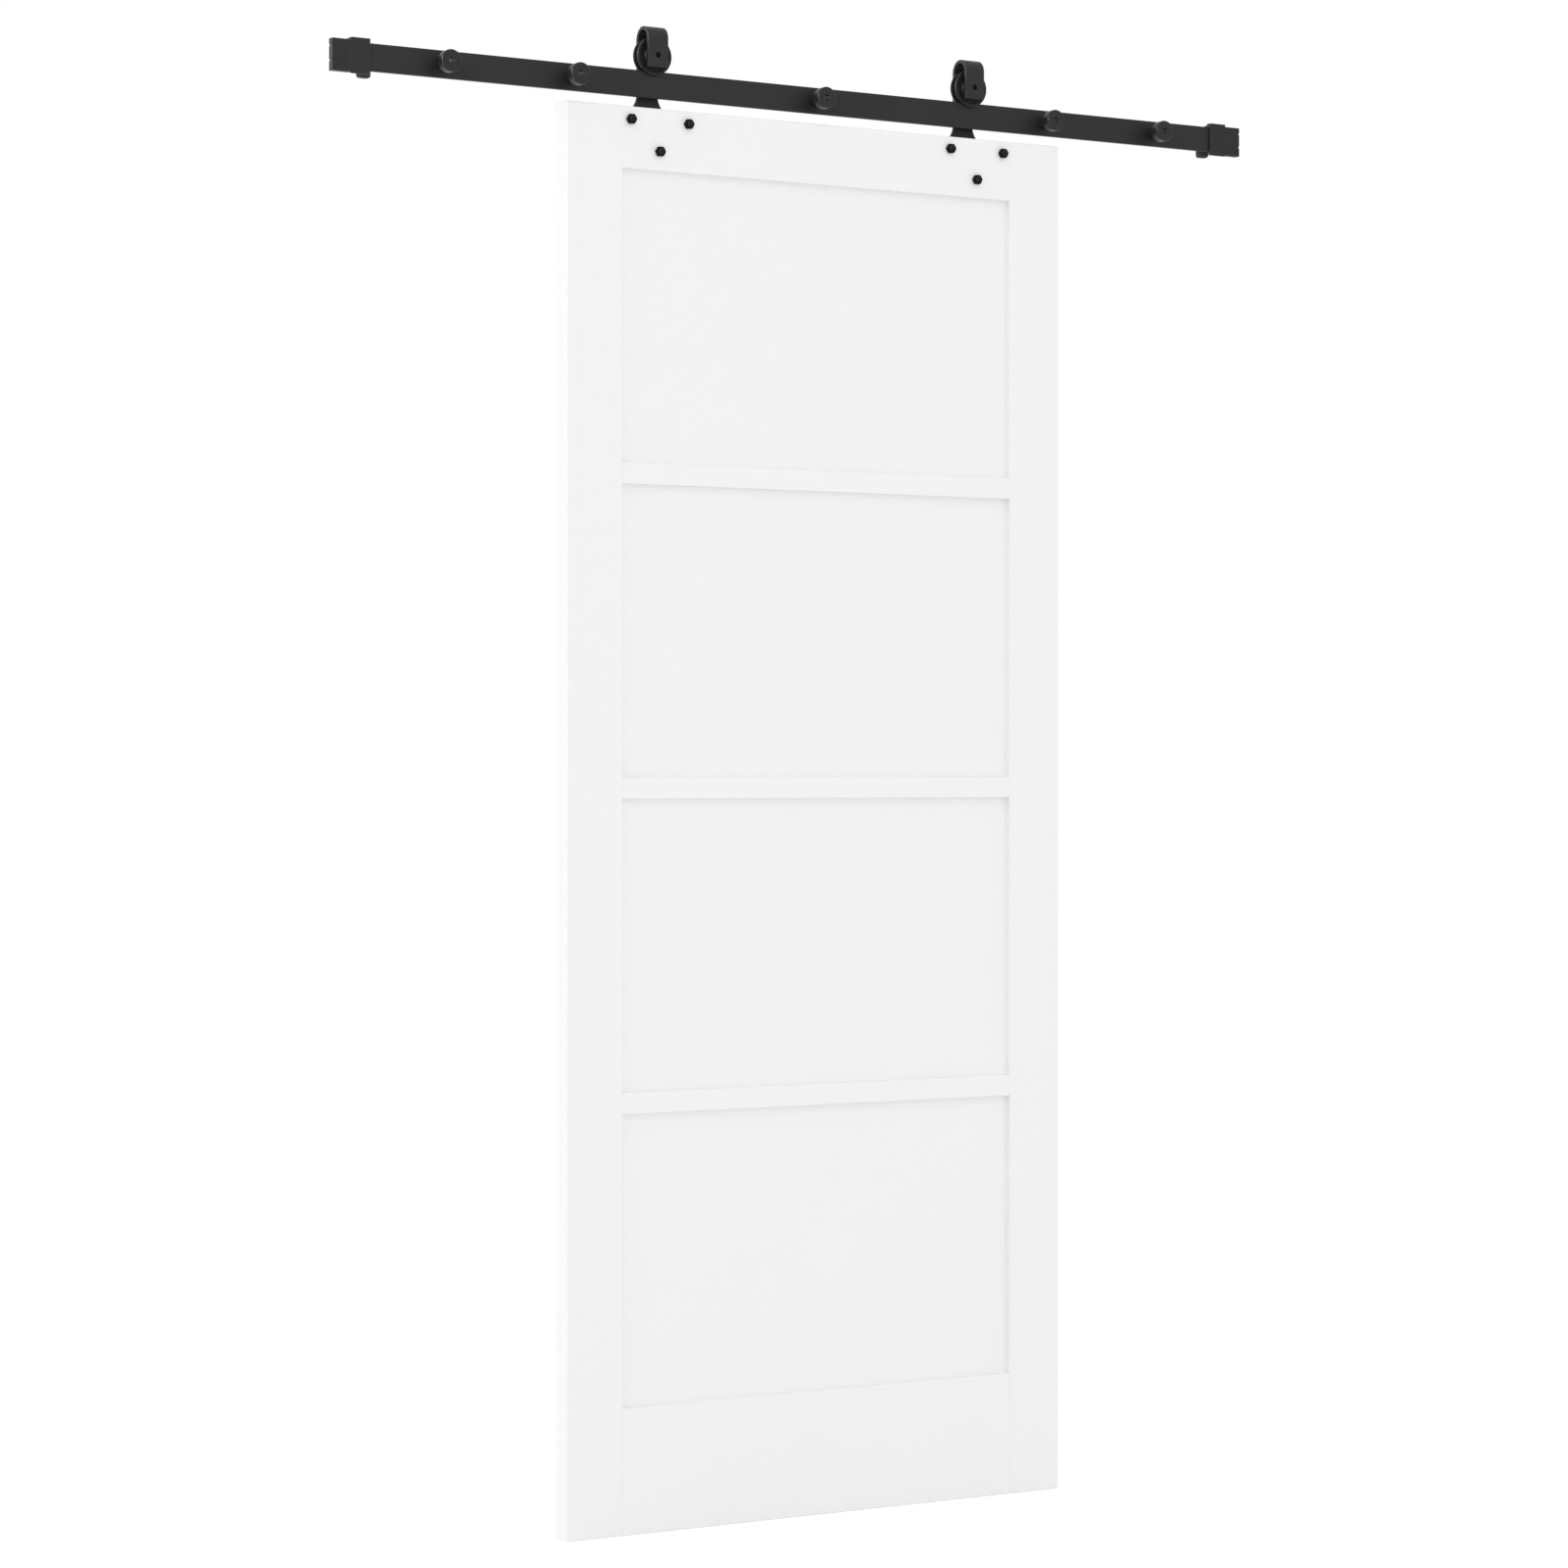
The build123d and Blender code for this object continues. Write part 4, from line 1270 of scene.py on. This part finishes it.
def make_floor():
    bm = bmesh.new()
    place = Matrix.Translation((0, 0, door_foot - FLOOR_GAP))
    bmesh.ops.create_grid(bm, x_segments=2, y_segments=2, size=FLOOR_SIZE / 2, matrix=place)
    mesh = bpy.data.meshes.new("studio_floor")
    bm.to_mesh(mesh)
    bm.free()
    material = bpy.data.materials.new("pale_floor")
    material.use_nodes = True
    tree = material.node_tree
    paint = tree.nodes["Principled BSDF"]
    paint.inputs["Roughness"].default_value = 0.9
    paint.inputs["Specular IOR Level"].default_value = 0.0
    glow = tree.nodes.new("ShaderNodeEmission")
    seen = seen_directly(tree)
    tree.links.new(graded(tree, seen, 0.0, 1.0, 0.0, FLOOR_WHITE), glow.inputs["Strength"])
    tree.links.new(shades(tree, seen, 0.0, 1.0, FLOOR_SHADE, FLOOR_SEEN_SHADE), paint.inputs["Base Color"])
    both = tree.nodes.new("ShaderNodeAddShader")
    tree.links.new(paint.outputs["BSDF"], both.inputs[0])
    tree.links.new(glow.outputs["Emission"], both.inputs[1])
    tree.links.new(both.outputs["Shader"], tree.nodes["Material Output"].inputs["Surface"])
    mesh.materials.append(material)
    floor = bpy.data.objects.new("studio_floor", mesh)
    bpy.context.scene.collection.objects.link(floor)


SKY_LIGHT = 0.95


def make_sky():
    world = bpy.data.worlds.new("white_studio")
    bpy.context.scene.world = world
    world.use_nodes = True
    tree = world.node_tree
    sky = tree.nodes["Background"]
    sky.inputs["Color"].default_value = (1, 1, 1, 1)
    strength = graded(tree, seen_directly(tree), 0.0, 1.0, SKY_LIGHT, 1.0)
    tree.links.new(strength, sky.inputs["Strength"])


make_floor()
make_sky()
print("floor at", round(door_foot - FLOOR_GAP, 4))

# %% lamps
def make_lamp(name, place, target, size, power, card=False):
    """Square soft lamp, turned to face a point. A card is only there to be reflected."""
    lamp = bpy.data.lights.new(name, "AREA")
    lamp.size = size
    lamp.energy = power
    holder = bpy.data.objects.new(name, lamp)
    holder.location = place
    holder.rotation_euler = (Vector(target) - Vector(place)).to_track_quat("-Z", "Y").to_euler()
    holder.visible_diffuse = not card
    holder.visible_camera = False
    bpy.context.scene.collection.objects.link(holder)


make_lamp("top_lamp", (0.5, -4.2, 3.0), (0, 0, -1.0), 1.6, 13)
make_lamp("low_lamp", (-1.8, -5.2, -1.6), (0, 0, -1.8), 2.6, 30)
make_lamp("side_lamp", (-5.0, 1.7, -1.1), (0, 0, -1.4), 2.8, 46)
make_lamp("rim_card", (-4.4, -2.2, 1.6), (0, 0, 0), 2.4, 420, card=True)
make_lamp("edge_card", (-3.0, 4.2, 1.5), (-0.5, 0, 0), 2.0, 20, card=True)
print("lamps:", [light.name for light in bpy.data.lights])

# %% [markdown]
# ## Camera
#
# The photograph was taken square to the ground from the wall side, some 30 degrees to the left. Its four
# door corners fix the camera's place, its turn and its lens. The picture's middle lies a little below the
# camera's own height, which a small vertical shift of the lens gives without tilting the uprights.

# %% camera
camera = bpy.data.cameras.new("photo_camera")
camera.sensor_width = 36.0
camera.lens = 92.06
camera.shift_x = -0.0003
camera.shift_y = -0.0100
camera.clip_end = 100.0
holder = bpy.data.objects.new("photo_camera", camera)
holder.location = (-2.99045, -4.96569, -0.97003)
holder.rotation_euler = (math.radians(90), 0, math.radians(-30.443))
bpy.context.scene.collection.objects.link(holder)
bpy.context.scene.camera = holder
bpy.context.scene.view_settings.view_transform = "Standard"
print("camera at", [round(value, 3) for value in holder.location])
